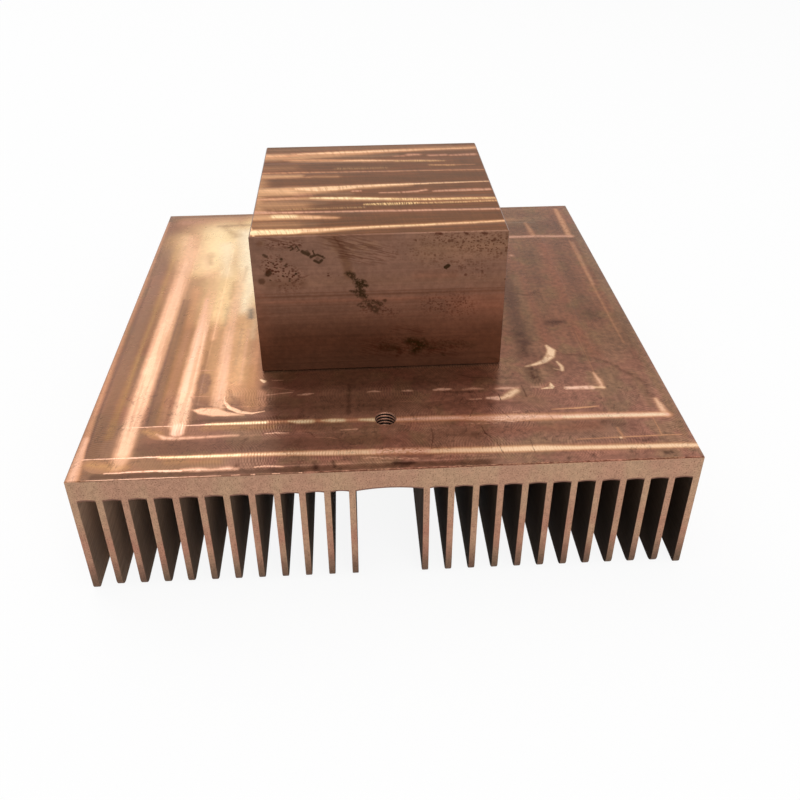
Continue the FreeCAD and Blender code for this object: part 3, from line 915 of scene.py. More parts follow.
@dataclass(frozen=True)
class MilledFace(Copper):
    """The plate's top: nested square milling passes, stained, with painted reflections and glints where they
    meet.
    """

    half: float = 63.25
    window: Window = (-64.0, -64.0, 64.0, 64.0)
    first_border: float = 0.25
    pass_width: float = 10.35
    cutter_radius: float = 6.4
    feed: float = 0.6
    rough: float = 0.27
    # Painted shade over the left front and again over the front-left corner, and how dark it is.
    left_from: Spot = (-30.0, -46.0)
    left_ahead: Spot = (20.0, -8.0)
    painted_shade: Colour = (0.74, 0.71, 0.60, 1.0)
    corner_from: Spot = (-4.0, -30.0)
    corner_ahead: Spot = (-30.0, -50.0)
    corner_painted_shade: float = 0.76
    calm_left: Step = (-50.0, 20.0, 0.35, 1.25)
    rubbed: float = 0.16
    scratched: Step = (-30.0, -38.0, 0.35, 1.0)
    scratch_tone: float = 0.68
    # Painted light and shade by depth: the back darker and the front lighter.
    front_from: Spot = (-5.0, -50.0)
    painted_shade_behind: Colour = (0.88, 0.85, 0.74, 1.0)
    ahead: Colour = (1.19, 1.23, 1.36, 1.0)
    under: tuple[Layer, ...] = MILLED_GROUND
    painted_sheen: tuple[Layer, ...] = MILLED_PAINTED_SHEEN
    pockets: tuple[Pocket, ...] = (
        Pocket(Tone.COPPER, -61.0, -61.4, -56.9, -46.0, strength=0.55),
        Pocket(Tone.COPPER, -50.6, -51.5, -46.8, -42.0, strength=0.6),
    )
    over: tuple[Layer, ...] = MILLED_PAINTED_GLINTS
    dirt: tuple[Layer, ...] = MILLED_DIRT

    def arcs(self, bench: Bench, flat: Socket, inward: Socket, along: Socket) -> tuple[Socket, Socket]:
        """The arcs that the cutter's leading and trailing edges leave.

        A pass is told by the distance to the nearest edge. Across it the arcs bend by the root of the
        cutter's radius squared less the distance to the pass's middle squared, one way at its leading edge
        and the other way at its trailing edge, and they lie one feed apart.

        Args:
            bench: The material's bench.
            flat: Place on the face.
            inward: Distance to the nearest edge.
            along: Distance along that edge.

        Returns:
            A ripple about zero, strong in patches, and a cut pattern for the painted glints from 0 to 1.
        """
        passes = bench.maths("DIVIDE", bench.less(inward, self.first_border), self.pass_width)
        offset = bench.times(bench.less(bench.maths("FRACT", passes), 0.5), self.pass_width)
        sweep = bench.less(self.cutter_radius**2, bench.times(offset, offset))
        bow = bench.maths("SQRT", bench.maths("MAXIMUM", sweep, 0.0))
        line = bench.maths("MULTIPLY_ADD", bench.noise(flat, 0.25, 2.0), 1.2, along)
        leading = bench.maths("SINE", bench.times(bench.plus(line, bow), math.tau / self.feed))
        trailing = bench.maths("SINE", bench.times(bench.less(line, bow), math.tau / self.feed))
        first = bench.ramp(bench.noise(flat, 0.09, 1.0), 0.44, 0.62)
        second = bench.ramp(bench.noise(bench.vector("ADD", flat, (90.0, 40.0, 0.0)), 0.09, 1.0), 0.44, 0.62)
        ripple = bench.maths("MULTIPLY_ADD", leading, first, bench.times(trailing, second))
        uneven = bench.noise(bench.stretch(flat, (1.0, 0.3, 1.0)), 1.6, 3.0)
        notch = bench.ramp(bench.maths("MULTIPLY_ADD", uneven, 6.0, leading), 1.6, 3.2, 0.66, 1.0)
        return ripple, notch

    def paint(self, bench: Bench, where: Socket) -> tuple[object, Number, Number]:
        """Passes, painted glints, reflections and shade, and stains by place, over grain that runs along each
        pass.

        Args:
            bench: The material's bench.
            where: Coordinates in millimetres.

        Returns:
            Colour, roughness and height.
        """
        x, y, _ = bench.axes(where)
        flat = bench.point(x, y)
        across_x = bench.maths("ABSOLUTE", x)
        across_y = bench.maths("ABSOLUTE", y)
        ends = bench.maths("GREATER_THAN", across_y, across_x)
        inward = bench.less(self.half, bench.maths("MAXIMUM", across_x, across_y))
        along = bench.maths("MULTIPLY_ADD", ends, bench.less(x, y), y)
        grain_place = bench.point(bench.times(along, 0.03), bench.times(inward, 1.2))
        grain = bench.noise(grain_place, 1.0, 4.0)
        cloud = bench.noise(flat, 0.09, 4.0)
        mottle = bench.noise(flat, 0.8, 5.0)
        ripple, notch = self.arcs(bench, flat, inward, along)
        flecks = bench.noise(bench.stretch(flat, (0.7, 1.3, 1.0)), 2.0, 3.0)
        rows = bench.noise(bench.stretch(flat, (1.0, 0.04, 1.0)), 1.0, 3.0)
        patterns = {
            Breakup.WHOLE: bench.ramp(bench.noise(flat, 0.9, 3.0), 0.34, 0.5, 0.6, 1.0),
            Breakup.GRAIN: bench.ramp(rows, 0.36, 0.56, 0.72, 1.0),
            Breakup.HATCH: notch,
            Breakup.SPARKLE: bench.ramp(flecks, 0.40, 0.56, 0.05, 1.0),
            Breakup.CLOUD: bench.ramp(bench.noise(flat, 0.5, 5.0), 0.36, 0.56, 0.45, 1.0),
        }
        canvas = Canvas(bench, flat, patterns, self.window)
        russet = bench.ramp(bench.noise(flat, 0.06, 3.0), 0.42, 0.56)
        olive = bench.ramp(bench.noise(flat, 0.11, 4.0), 0.5, 0.62, 0.0, 0.7)
        metal = bench.mix(russet, Tone.BROWN.value, Tone.RUSSET.value)
        metal = bench.mix(olive, metal, Tone.OLIVE.value)
        metal = bench.uneven(metal, cloud, 0.12)
        metal = bench.uneven(metal, grain, 0.07)
        # Painted light and shade by depth.
        depth = bench.mix(bench.ramp(y, *self.front_from), self.painted_shade_behind, self.ahead)
        metal = bench.vector("MULTIPLY", metal, depth)
        metal = canvas.lay(metal, self.under)
        for pocket in self.pockets:
            if self.window[0] < self.left_from[0]:
                metal = bench.mix(pocket.mask(bench, x, y), metal, pocket.tone.value)
        # Painted shade: the left front is darkened where the lamps light it more.
        left = bench.times(bench.ramp(x, *self.left_from), bench.ramp(y, *self.left_ahead))
        metal = bench.vector("MULTIPLY", metal, bench.mix(left, WHITE, self.painted_shade))
        # Painted reflection of a window over the left side.
        metal = canvas.lay(metal, self.painted_sheen)
        calm = bench.ramp(x, *self.calm_left)
        metal = bench.scaled(metal, bench.maths("MULTIPLY_ADD", ripple, bench.times(calm, 0.12), 1.0))
        rubbed = bench.ramp(mottle, *NOISE_SPAN, -self.rubbed, self.rubbed)
        metal = bench.scaled(metal, bench.maths("MULTIPLY_ADD", rubbed, calm, 1.0))
        # Painted shade over the front-left corner; the glints and dirt laid after it keep their tone.
        corner = bench.times(bench.ramp(y, *self.corner_ahead), bench.ramp(x, *self.corner_from))
        metal = bench.scaled(metal, bench.ramp(corner, 0.0, 1.0, 1.0, self.corner_painted_shade))
        # Painted glints and highlights, then the dirt.
        metal = canvas.lay(metal, (*self.over, *self.dirt))
        curls = bench.hairlines(flat, 0.4, 0.022)
        scratches = bench.hairlines(bench.stretch(flat, (1.0, 0.3, 1.0), -20.0), 0.9, 0.02)
        shown = bench.ramp(bench.noise(flat, 0.16, 2.0), 0.47, 0.56)
        near = bench.ramp(y, *self.scratched)
        dark = bench.times(bench.maths("MAXIMUM", curls, scratches), bench.times(shown, near))
        metal = bench.scaled(metal, bench.ramp(dark, 0.0, 1.0, 1.0, self.scratch_tone))
        height = bench.maths("MULTIPLY_ADD", ripple, 0.25, bench.times(grain, 0.6))
        height = bench.maths("MULTIPLY_ADD", mottle, 0.5, height)
        rough = bench.ramp(cloud, *NOISE_SPAN, self.rough - 0.03, self.rough + 0.05)
        return metal, rough, height


@dataclass(frozen=True)
class SawnFace(Copper):
    """The cut ends of plate and fins: matt, tan, finely speckled, with painted shade towards the tips."""

    metallic: float = 0.35
    rough: float = 0.5
    relief: float = 0.03
    tan: Colour = tint(176, 142, 116)
    rosy: Colour = tint(174, 134, 112)
    speck: Colour = tint(106, 78, 62)
    blush: Colour = tint(168, 118, 100)
    blush_above: Spot = (2.0, 7.0)
    blush_below: Spot = (20.0, 12.0)
    painted_shade: float = 0.34
    painted_shade_below: float = 11.0

    def paint(self, bench: Bench, where: Socket) -> tuple[object, Number, Number]:
        """Fine grain at two scales over slow changes of tone, with painted shade towards the tips.

        Args:
            bench: The material's bench.
            where: Coordinates in millimetres.

        Returns:
            Colour, roughness and height.
        """
        _, _, z = bench.axes(where)
        slow = bench.noise(bench.stretch(where, (1.0, 1.0, 0.35)), 0.16, 3.0)
        warm = bench.times(bench.ramp(z, *self.blush_above), bench.ramp(z, *self.blush_below))
        warm = bench.times(warm, bench.ramp(bench.noise(where, 0.12, 3.0), 0.4, 0.6, 0.1, 0.75))
        grain = bench.noise(where, 3.4, 4.0)
        metal = bench.mix(bench.ramp(slow, 0.38, 0.62), self.tan, self.rosy)
        metal = bench.mix(warm, metal, self.blush)
        metal = bench.uneven(metal, bench.noise(where, 1.0, 3.0), 0.1)
        metal = bench.mix(bench.ramp(grain, 0.45, 0.33, 0.0, 0.75), metal, self.speck)
        metal = bench.scaled(metal, bench.ramp(grain, 0.4, 0.7, 0.95, 1.12))
        # Painted shade: darker towards the tips.
        metal = bench.scaled(metal, bench.ramp(z, 0.5, self.painted_shade_below, self.painted_shade, 1.0))
        lines = bench.noise(bench.stretch(where, (1.0, 1.0, 0.05)), 2.0, 2.0)
        height = bench.plus(grain, bench.times(lines, 0.5))
        return metal, self.rough, height


@dataclass(frozen=True)
class SlotWall(Copper):
    """The fins' broad faces inside the slots: dark with oxide, with the saw's fine lines along them."""

    metallic: float = 0.05
    rough: float = 0.8
    gloss: float = 0.02
    relief: float = 0.02
    oxide: Colour = tint(110, 90, 76, 0.0)
    brown: Colour = tint(118, 95, 79, 0.0)
    deep: Colour = tint(146, 118, 98, 0.0)
    outermost: Step = (-62.0, -46.0, 2.4, 1.2)
    across: Step = (-46.0, 0.0, 1.0, 0.42)
    mouth: Step = (63.2, 52.0, 0.5, 1.12)
    sunk_from: Spot = (6.1, 24.4)

    def paint(self, bench: Bench, where: Socket) -> tuple[object, Number, Number]:
        """Lines along the cut over slow patches.

        The studio's light falls off into the slots and towards the left. The tone makes up for it by place,
        so that the walls look evenly dark.

        Args:
            bench: The material's bench.
            where: Coordinates in millimetres.

        Returns:
            Colour, roughness and height.
        """
        lines = bench.noise(bench.stretch(where, (1.0, 0.04, 1.0)), 2.2, 3.0)
        patch = bench.noise(where, 0.12, 3.0)
        x, y, z = bench.axes(where)
        metal = bench.mix(bench.ramp(patch, 0.35, 0.65), self.oxide, self.brown)
        sunk = bench.ramp(z, *self.sunk_from)
        metal = bench.mix(bench.times(sunk, sunk), metal, self.deep)
        metal = bench.scaled(metal, bench.ramp(x, *self.outermost))
        metal = bench.scaled(metal, bench.ramp(x, *self.across))
        metal = bench.scaled(metal, bench.ramp(bench.maths("ABSOLUTE", y), *self.mouth))
        metal = bench.uneven(metal, lines, 0.15)
        return metal, self.rough, lines


@dataclass(frozen=True)
class RootFace(Copper):
    """The arched roots of the slots and channel: brown, with the blade's edge lines along them."""

    metallic: float = 0.5
    rough: float = 0.45
    relief: float = 0.03
    brown: Colour = tint(128, 94, 78)
    dark: Colour = tint(74, 52, 44)
    lip: Colour = tint(150, 110, 94)
    end: float = 63.25

    def paint(self, bench: Bench, where: Socket) -> tuple[object, Number, Number]:
        """Fine lines along the cut, a rosy lip at its ends and a dark line of painted shade where the lip
        starts.

        Args:
            bench: The material's bench.
            where: Coordinates in millimetres.

        Returns:
            Colour, roughness and height.
        """
        _, y, _ = bench.axes(where)
        inward = bench.less(self.end, bench.maths("ABSOLUTE", y))
        lines = bench.noise(bench.stretch(where, (1.0, 0.05, 1.0)), 3.0, 3.0)
        metal = bench.mix(bench.ramp(lines, 0.35, 0.65), self.dark, self.brown)
        metal = bench.mix(bench.ramp(inward, 0.12, 0.09), metal, self.lip)
        # Painted shade: a dark line at the lip's edge.
        metal = bench.mix(bench.ramp(inward, 0.035, 0.02, 0.0, 0.8), metal, self.dark)
        return metal, self.rough, lines


@dataclass(frozen=True)
class ThreadFace(Copper):
    """The tapped thread: bright crests over roots darkened by painted shade."""

    bore: float = 2.1
    depth: float = 0.4
    hole: Spot = (0.0, -46.85)
    metallic: float = 0.7
    rough: float = 0.35
    crest: Colour = tint(168, 124, 104)
    root: Colour = tint(36, 24, 20)

    def paint(self, bench: Bench, where: Socket) -> tuple[object, Number, Number]:
        """Colour by the distance from the hole's axis: painted shade darkens the grooves.

        Args:
            bench: The material's bench.
            where: Coordinates in millimetres.

        Returns:
            Colour, roughness and height.
        """
        x, y, _ = bench.axes(where)
        out = bench.vector("DISTANCE", bench.point(x, y), (*self.hole, 0.0))
        # Painted shade: the grooves are far darker than the crests.
        metal = bench.mix(bench.ramp(out, self.bore, self.bore + self.depth * 0.6), self.crest, self.root)
        return metal, self.rough, bench.noise(where, 3.0, 2.0)


# The block's sides, with height as the second number: bands along the drawn lines, and painted shade low
# down.
BAR_BANDS = (
    Layer(Tone.OLIVE, trails(
        (1.5, 0.25, (-30, 53, 0.5), (30, 52.6, 0.5)), (2.5, 0.4, (10, 60, 2.5), (27, 61, 2.5)),
    )),
    Layer(Tone.DUSK, trails(
        (0.15, 0.55, (-27, 50.3, 0.12), (30, 50.2, 0.12)),
        (0.25, 0.75, (-27, 49.5, 0.22), (30, 49.5, 0.22)), (0.15, 0.4, (-27, 47.2, 0.1), (30, 47.2, 0.1)),
    ), waver=0.1),
    Layer(Tone.RUSSET, trails(
        (0.4, 0.5, (-30, 48.3, 0.5), (30, 48.2, 0.5)), (1.8, 0.6, (17, 46.6, 1.8), (28, 46, 2)),
        (0.9, 0.45, (8, 53.8, 0.8), (16, 53.8, 0.7)), (2.5, 0.5, (-27, 50, 1.2), (-26.5, 38, 0.6)),
    ), waver=0.5),
    # Painted shade: a soft dark patch low on the sides.
    Layer(Tone.UMBER, trails(
        (4, 0.35, (-20, 38, 1), (0, 38, 2)),
    ), Breakup.SMOOTH, waver=2.0, waver_scale=0.15),
)

# Smears and old spots on its front.
BAR_MARKS = (
    Layer(Tone.OLIVE, trails(
        (1.4, 0.45, (-10, 63, 1.6), (-8, 60, 1.6), (-2, 61.5, 1.2)),
        (0.6, 0.6, (-7.4, 59.6, 0.8), (-6.8, 54.6, 1)), (0.3, 0.6, (-24.6, 62.8, 0.4), (-24.5, 62.4, 0.4)),
    ), Breakup.GRAIN, waver=0.8),
    Layer(Tone.DUSK, trails(
        (0.4, 0.4, (-24, 55.6, 1)), (0.3, 0.7, (-25.6, 53.5, 0.8)), (0.4, 0.6, (-25.4, 62.4, 0.7)),
        (0.7, 0.6, (-9.4, 63.2, 1.4), (-7.6, 59, 0.9), (-6.8, 54.4, 0.9)),
        (1.2, 0.5, (-24, 52.4, 0.8), (-17, 52.6, 0.9)), (1.2, 0.5, (-12, 64, 0.8), (2, 63.6, 0.8)),
        (2.4, 0.3, (-2, 36, 2), (18, 35.6, 1.8)),
    ), waver=0.9, waver_scale=0.9, blur=1.0),
    Layer(Tone.UMBER, trails(
        (1.4, 0.55, (-11, 62.8, 1.2), (-5, 61.6, 1.8), (2, 59.4, 1)),
        (1, 0.55, (-8, 59.6, 1.2), (0, 57.4, 0.8)), (0.8, 0.7, (-23.4, 62.6, 1), (-18, 62, 0.9)),
        (1, 0.6, (3, 40.6, 0.8), (9, 39.6, 0.8)), (1.6, 0.6, (-3, 35.6, 1.6), (16, 34.4, 1.4)),
    ), Breakup.HATCH, waver=1.0),
    Layer(Tone.INK, trails(
        (0.2, 0.8, (-24.2, 55.2, 0.55), (-23.8, 55.7, 0.6)), (0.3, 0.35, (-25.6, 53.5, 0.7)),
        (0.2, 0.85, (-16.5, 60.3, 0.4), (-15.2, 59.7, 0.5)),
        (0.12, 0.85, (-14.2, 60.5, 0.15), (-13.9, 59.4, 0.25)),
        (0.16, 0.85, (-14.7, 59, 0.35), (-13.4, 59.5, 0.22), (-12.3, 59, 0.3)),
        (0.16, 0.85, (-12.4, 58.2, 0.3), (-13, 57.6, 0.35), (-14, 58.1, 0.3)),
        (0.3, 0.4, (-13.3, 58.6, 0.45)), (0.2, 0.6, (-15.6, 60, 0.6)), (0.15, 0.7, (-11.9, 58.7, 0.25)),
        (0.12, 0.8, (-19.3, 61.3, 0.18), (-18.6, 61.6, 0.18), (-18.3, 61, 0.18), (-18.9, 60.7, 0.18)),
        (0.12, 0.75, (-17.9, 61.2, 0.1), (-17.5, 61.6, 0.15), (-17.1, 60.7, 0.15), (-17.6, 60.4, 0.12)),
        (0.2, 0.75, (-24.7, 59.8, 0.25), (-24.1, 59.4, 0.35)), (0.16, 0.85, (-21, 58.7, 0.34)),
        (0.12, 0.9, (-18.1, 55.1, 0.28)), (0.14, 0.95, (14.2, 55.6, 0.45), (14.7, 56, 0.45)),
        (0.14, 0.8, (-20.4, 57.1, 0.15), (-20, 57.4, 0.2)), (0.12, 0.75, (-22.8, 57.7, 0.25)),
        (0.12, 0.75, (-22.1, 56.6, 0.22)), (0.12, 0.75, (-21, 54.7, 0.24)),
        (0.12, 0.7, (-19.6, 53.4, 0.24)), (0.12, 0.7, (-23.7, 53.7, 0.22)), (0.25, 0.7, (0.9, 47.9, 0.45)),
        (0.12, 0.8, (27.3, 52.3, 0.2)),
    ), waver=0.5, waver_scale=2.2, blur=1.0),
    Layer(Tone.INK, trails(
        (0.4, 0.85, (-7.2, 55, 0.5), (-6.2, 54.4, 0.8), (-5.4, 53.4, 0.5)),
        (0.4, 0.95, (-5.6, 52.6, 0.4), (-4.2, 52.3, 1.1), (-3.2, 51.8, 0.6)),
        (0.45, 0.9, (-4.6, 51.5, 1), (-4.5, 49.8, 1), (-3.2, 49, 0.5)),
        (0.3, 0.8, (-6.8, 50.4, 0.2), (-5.4, 50.2, 0.4)),
        (0.6, 0.75, (-3.6, 48.6, 0.4), (-2.2, 46.9, 0.8), (-1, 45.6, 0.9)),
        (0.35, 0.8, (-1.8, 48, 0.4), (0, 47, 0.5)),
        (0.3, 0.7, (-3.4, 48, 0.2), (-5.2, 46.8, 0.25), (-3.4, 46.2, 0.3)),
        (0.9, 1, (6.4, 37.2, 1), (9.2, 36, 1.2), (7.6, 34.6, 1)),
        (0.6, 0.75, (9.6, 37.4, 0.4), (11, 35.4, 0.7)), (1, 0.65, (0.2, 35.9, 0.8), (3.4, 35.2, 0.9)),
        (0.25, 0.7, (10.8, 34.7, 0.15), (12.2, 35.1, 0.3), (14.2, 35.2, 0.1)),
        (0.3, 0.6, (13.8, 33.2, 0.3), (14.4, 33, 0.3)), (0.3, 0.5, (24.2, 31.9, 0.15), (26.6, 31.4, 0.2)),
        (1, 0.4, (12, 36.2, 0.8), (21, 35.6, 0.6)),
    ), Breakup.CLOUD, waver=1.1, waver_scale=1.1, blur=1.0),
    Layer(Tone.UMBER, trails(
        (0.3, 0.5, (-9.6, 63.6, 0.12), (-8.4, 61.4, 0.3), (-6.6, 60.4, 0.12)),
        (0.2, 0.6, (7.6, 62.3, 0.35)), (0.2, 0.75, (11.9, 63.7, 0.2), (13, 63.5, 0.35)),
        (0.2, 0.7, (18, 63.7, 0.2), (18.6, 63.4, 0.3)), (0.2, 0.75, (21.7, 63.5, 0.2), (22.7, 63.3, 0.3)),
        (0.2, 0.7, (23.9, 61.5, 0.2), (24.5, 61.9, 0.3)), (0.15, 0.6, (17.3, 60.2, 0.25)),
        (0.15, 0.55, (11.8, 58.5, 0.25)), (0.18, 0.55, (26, 58.5, 0.3)), (0.15, 0.45, (17.5, 55.4, 0.4)),
        (0.15, 0.6, (18.6, 53.7, 0.3)), (0.15, 0.5, (22.2, 54.2, 0.3)), (0.2, 0.6, (3.5, 33.2, 0.35)),
        (0.3, 0.6, (4.2, 34.2, 0.6)), (0.3, 0.6, (-15.6, 54.6, 0.1), (-17.6, 54, 0.15), (-19, 52.8, 0.25)),
    ), waver=0.7, waver_scale=1.4, blur=1.0),
)

# Where its front is finely dotted.
BAR_DOTTED = trails(
    (1.6, 1, (-23, 57, 2.2), (-19, 54.4, 2)), (0.8, 0.8, (-23, 62, 0.8), (-17, 62.2, 0.8)),
    (0.4, 1, (-12, 54.8, 0.5), (-9.5, 54.4, 0.4)), (2.5, 0.6, (11, 46.5, 2), (18, 46, 3)),
    (1.5, 0.6, (-3, 46, 1.5), (3, 45, 1)), (2.4, 0.75, (10, 62.5, 1), (26, 60.5, 3)),
    (2.4, 0.45, (4, 60, 1.4), (22, 55, 2)), (2, 0.6, (-20, 53, 2.4), (-22, 58, 2)),
    (2, 0.6, (0, 36, 2), (18, 35, 2)),
)


@dataclass(frozen=True)
class DrawnBar(Copper):
    """The block's sides: dull drawn copper, fine lines across it, spots, a smear and painted shade towards
    the foot.
    """

    metallic: float = 0.6
    rough: float = 0.36
    relief: float = 0.02
    half: float = 27.5
    foot: float = 30.0
    top: float = 64.0
    upper: Colour = tint(130, 98, 83)
    lower_painted_shade: Colour = tint(100, 72, 59)
    bands: tuple[Layer, ...] = BAR_BANDS
    marks: tuple[Layer, ...] = BAR_MARKS
    dotted: tuple[Stroke, ...] = BAR_DOTTED

    def paint(self, bench: Bench, where: Socket) -> tuple[object, Number, Number]:
        """Drawn lines run across the front and the back, so a line's tone depends mostly on its height.

        Args:
            bench: The material's bench.
            where: Coordinates in millimetres.

        Returns:
            Colour, roughness and height.
        """
        x, _, z = bench.axes(where)
        face = bench.point(x, z)
        lines = bench.noise(bench.stretch(where, (0.02, 0.02, 1.0)), 1.4, 4.0)
        fine = bench.noise(bench.stretch(where, (0.05, 0.05, 1.0)), 5.0, 3.0)
        cloud = bench.noise(where, 0.07, 4.0)
        mottle = bench.noise(where, 1.0, 5.0)
        slanted = bench.noise(bench.stretch(face, (0.2, 2.2, 1.0), -16.0), 1.2, 3.0)
        patterns = {
            Breakup.GRAIN: bench.ramp(mottle, 0.4, 0.58, 0.2, 1.0),
            Breakup.CLOUD: bench.ramp(bench.noise(face, 1.5, 5.0), 0.38, 0.5, 0.3, 1.0),
            Breakup.HATCH: bench.ramp(slanted, 0.47, 0.56),
        }
        canvas = Canvas(bench, face, patterns)
        # Painted shade: the tone darkens towards the foot.
        metal = bench.mix(bench.ramp(z, self.top - 11.0, self.foot + 6.0), self.upper, self.lower_painted_shade)
        metal = canvas.lay(metal, self.bands)
        metal = bench.uneven(metal, lines, 0.07)
        metal = bench.uneven(metal, cloud, 0.1)
        metal = bench.uneven(metal, mottle, 0.1)
        metal = canvas.lay(metal, self.marks)
        dots = bench.specks(bench.stretch(face, (0.85, 1.2, 1.0)), 1.9, 0.55, 0.9)
        dots = bench.times(dots, bench.strokes(face, self.dotted)[0] if self.dotted else 0.06)
        metal = bench.mix(bench.times(dots, 0.85), metal, Tone.UMBER.value)
        seam = bench.ramp(z, self.foot + 0.45, self.foot + 0.2)
        seam = bench.times(seam, bench.ramp(bench.noise(where, 0.25, 4.0), 0.36, 0.55, 0.15, 0.9))
        metal = bench.mix(seam, metal, Tone.SOOT.value)
        height = bench.plus(bench.times(lines, 0.7), bench.times(fine, 0.5))
        height = bench.maths("MULTIPLY_ADD", dots, -0.8, height)
        return metal, self.rough, height
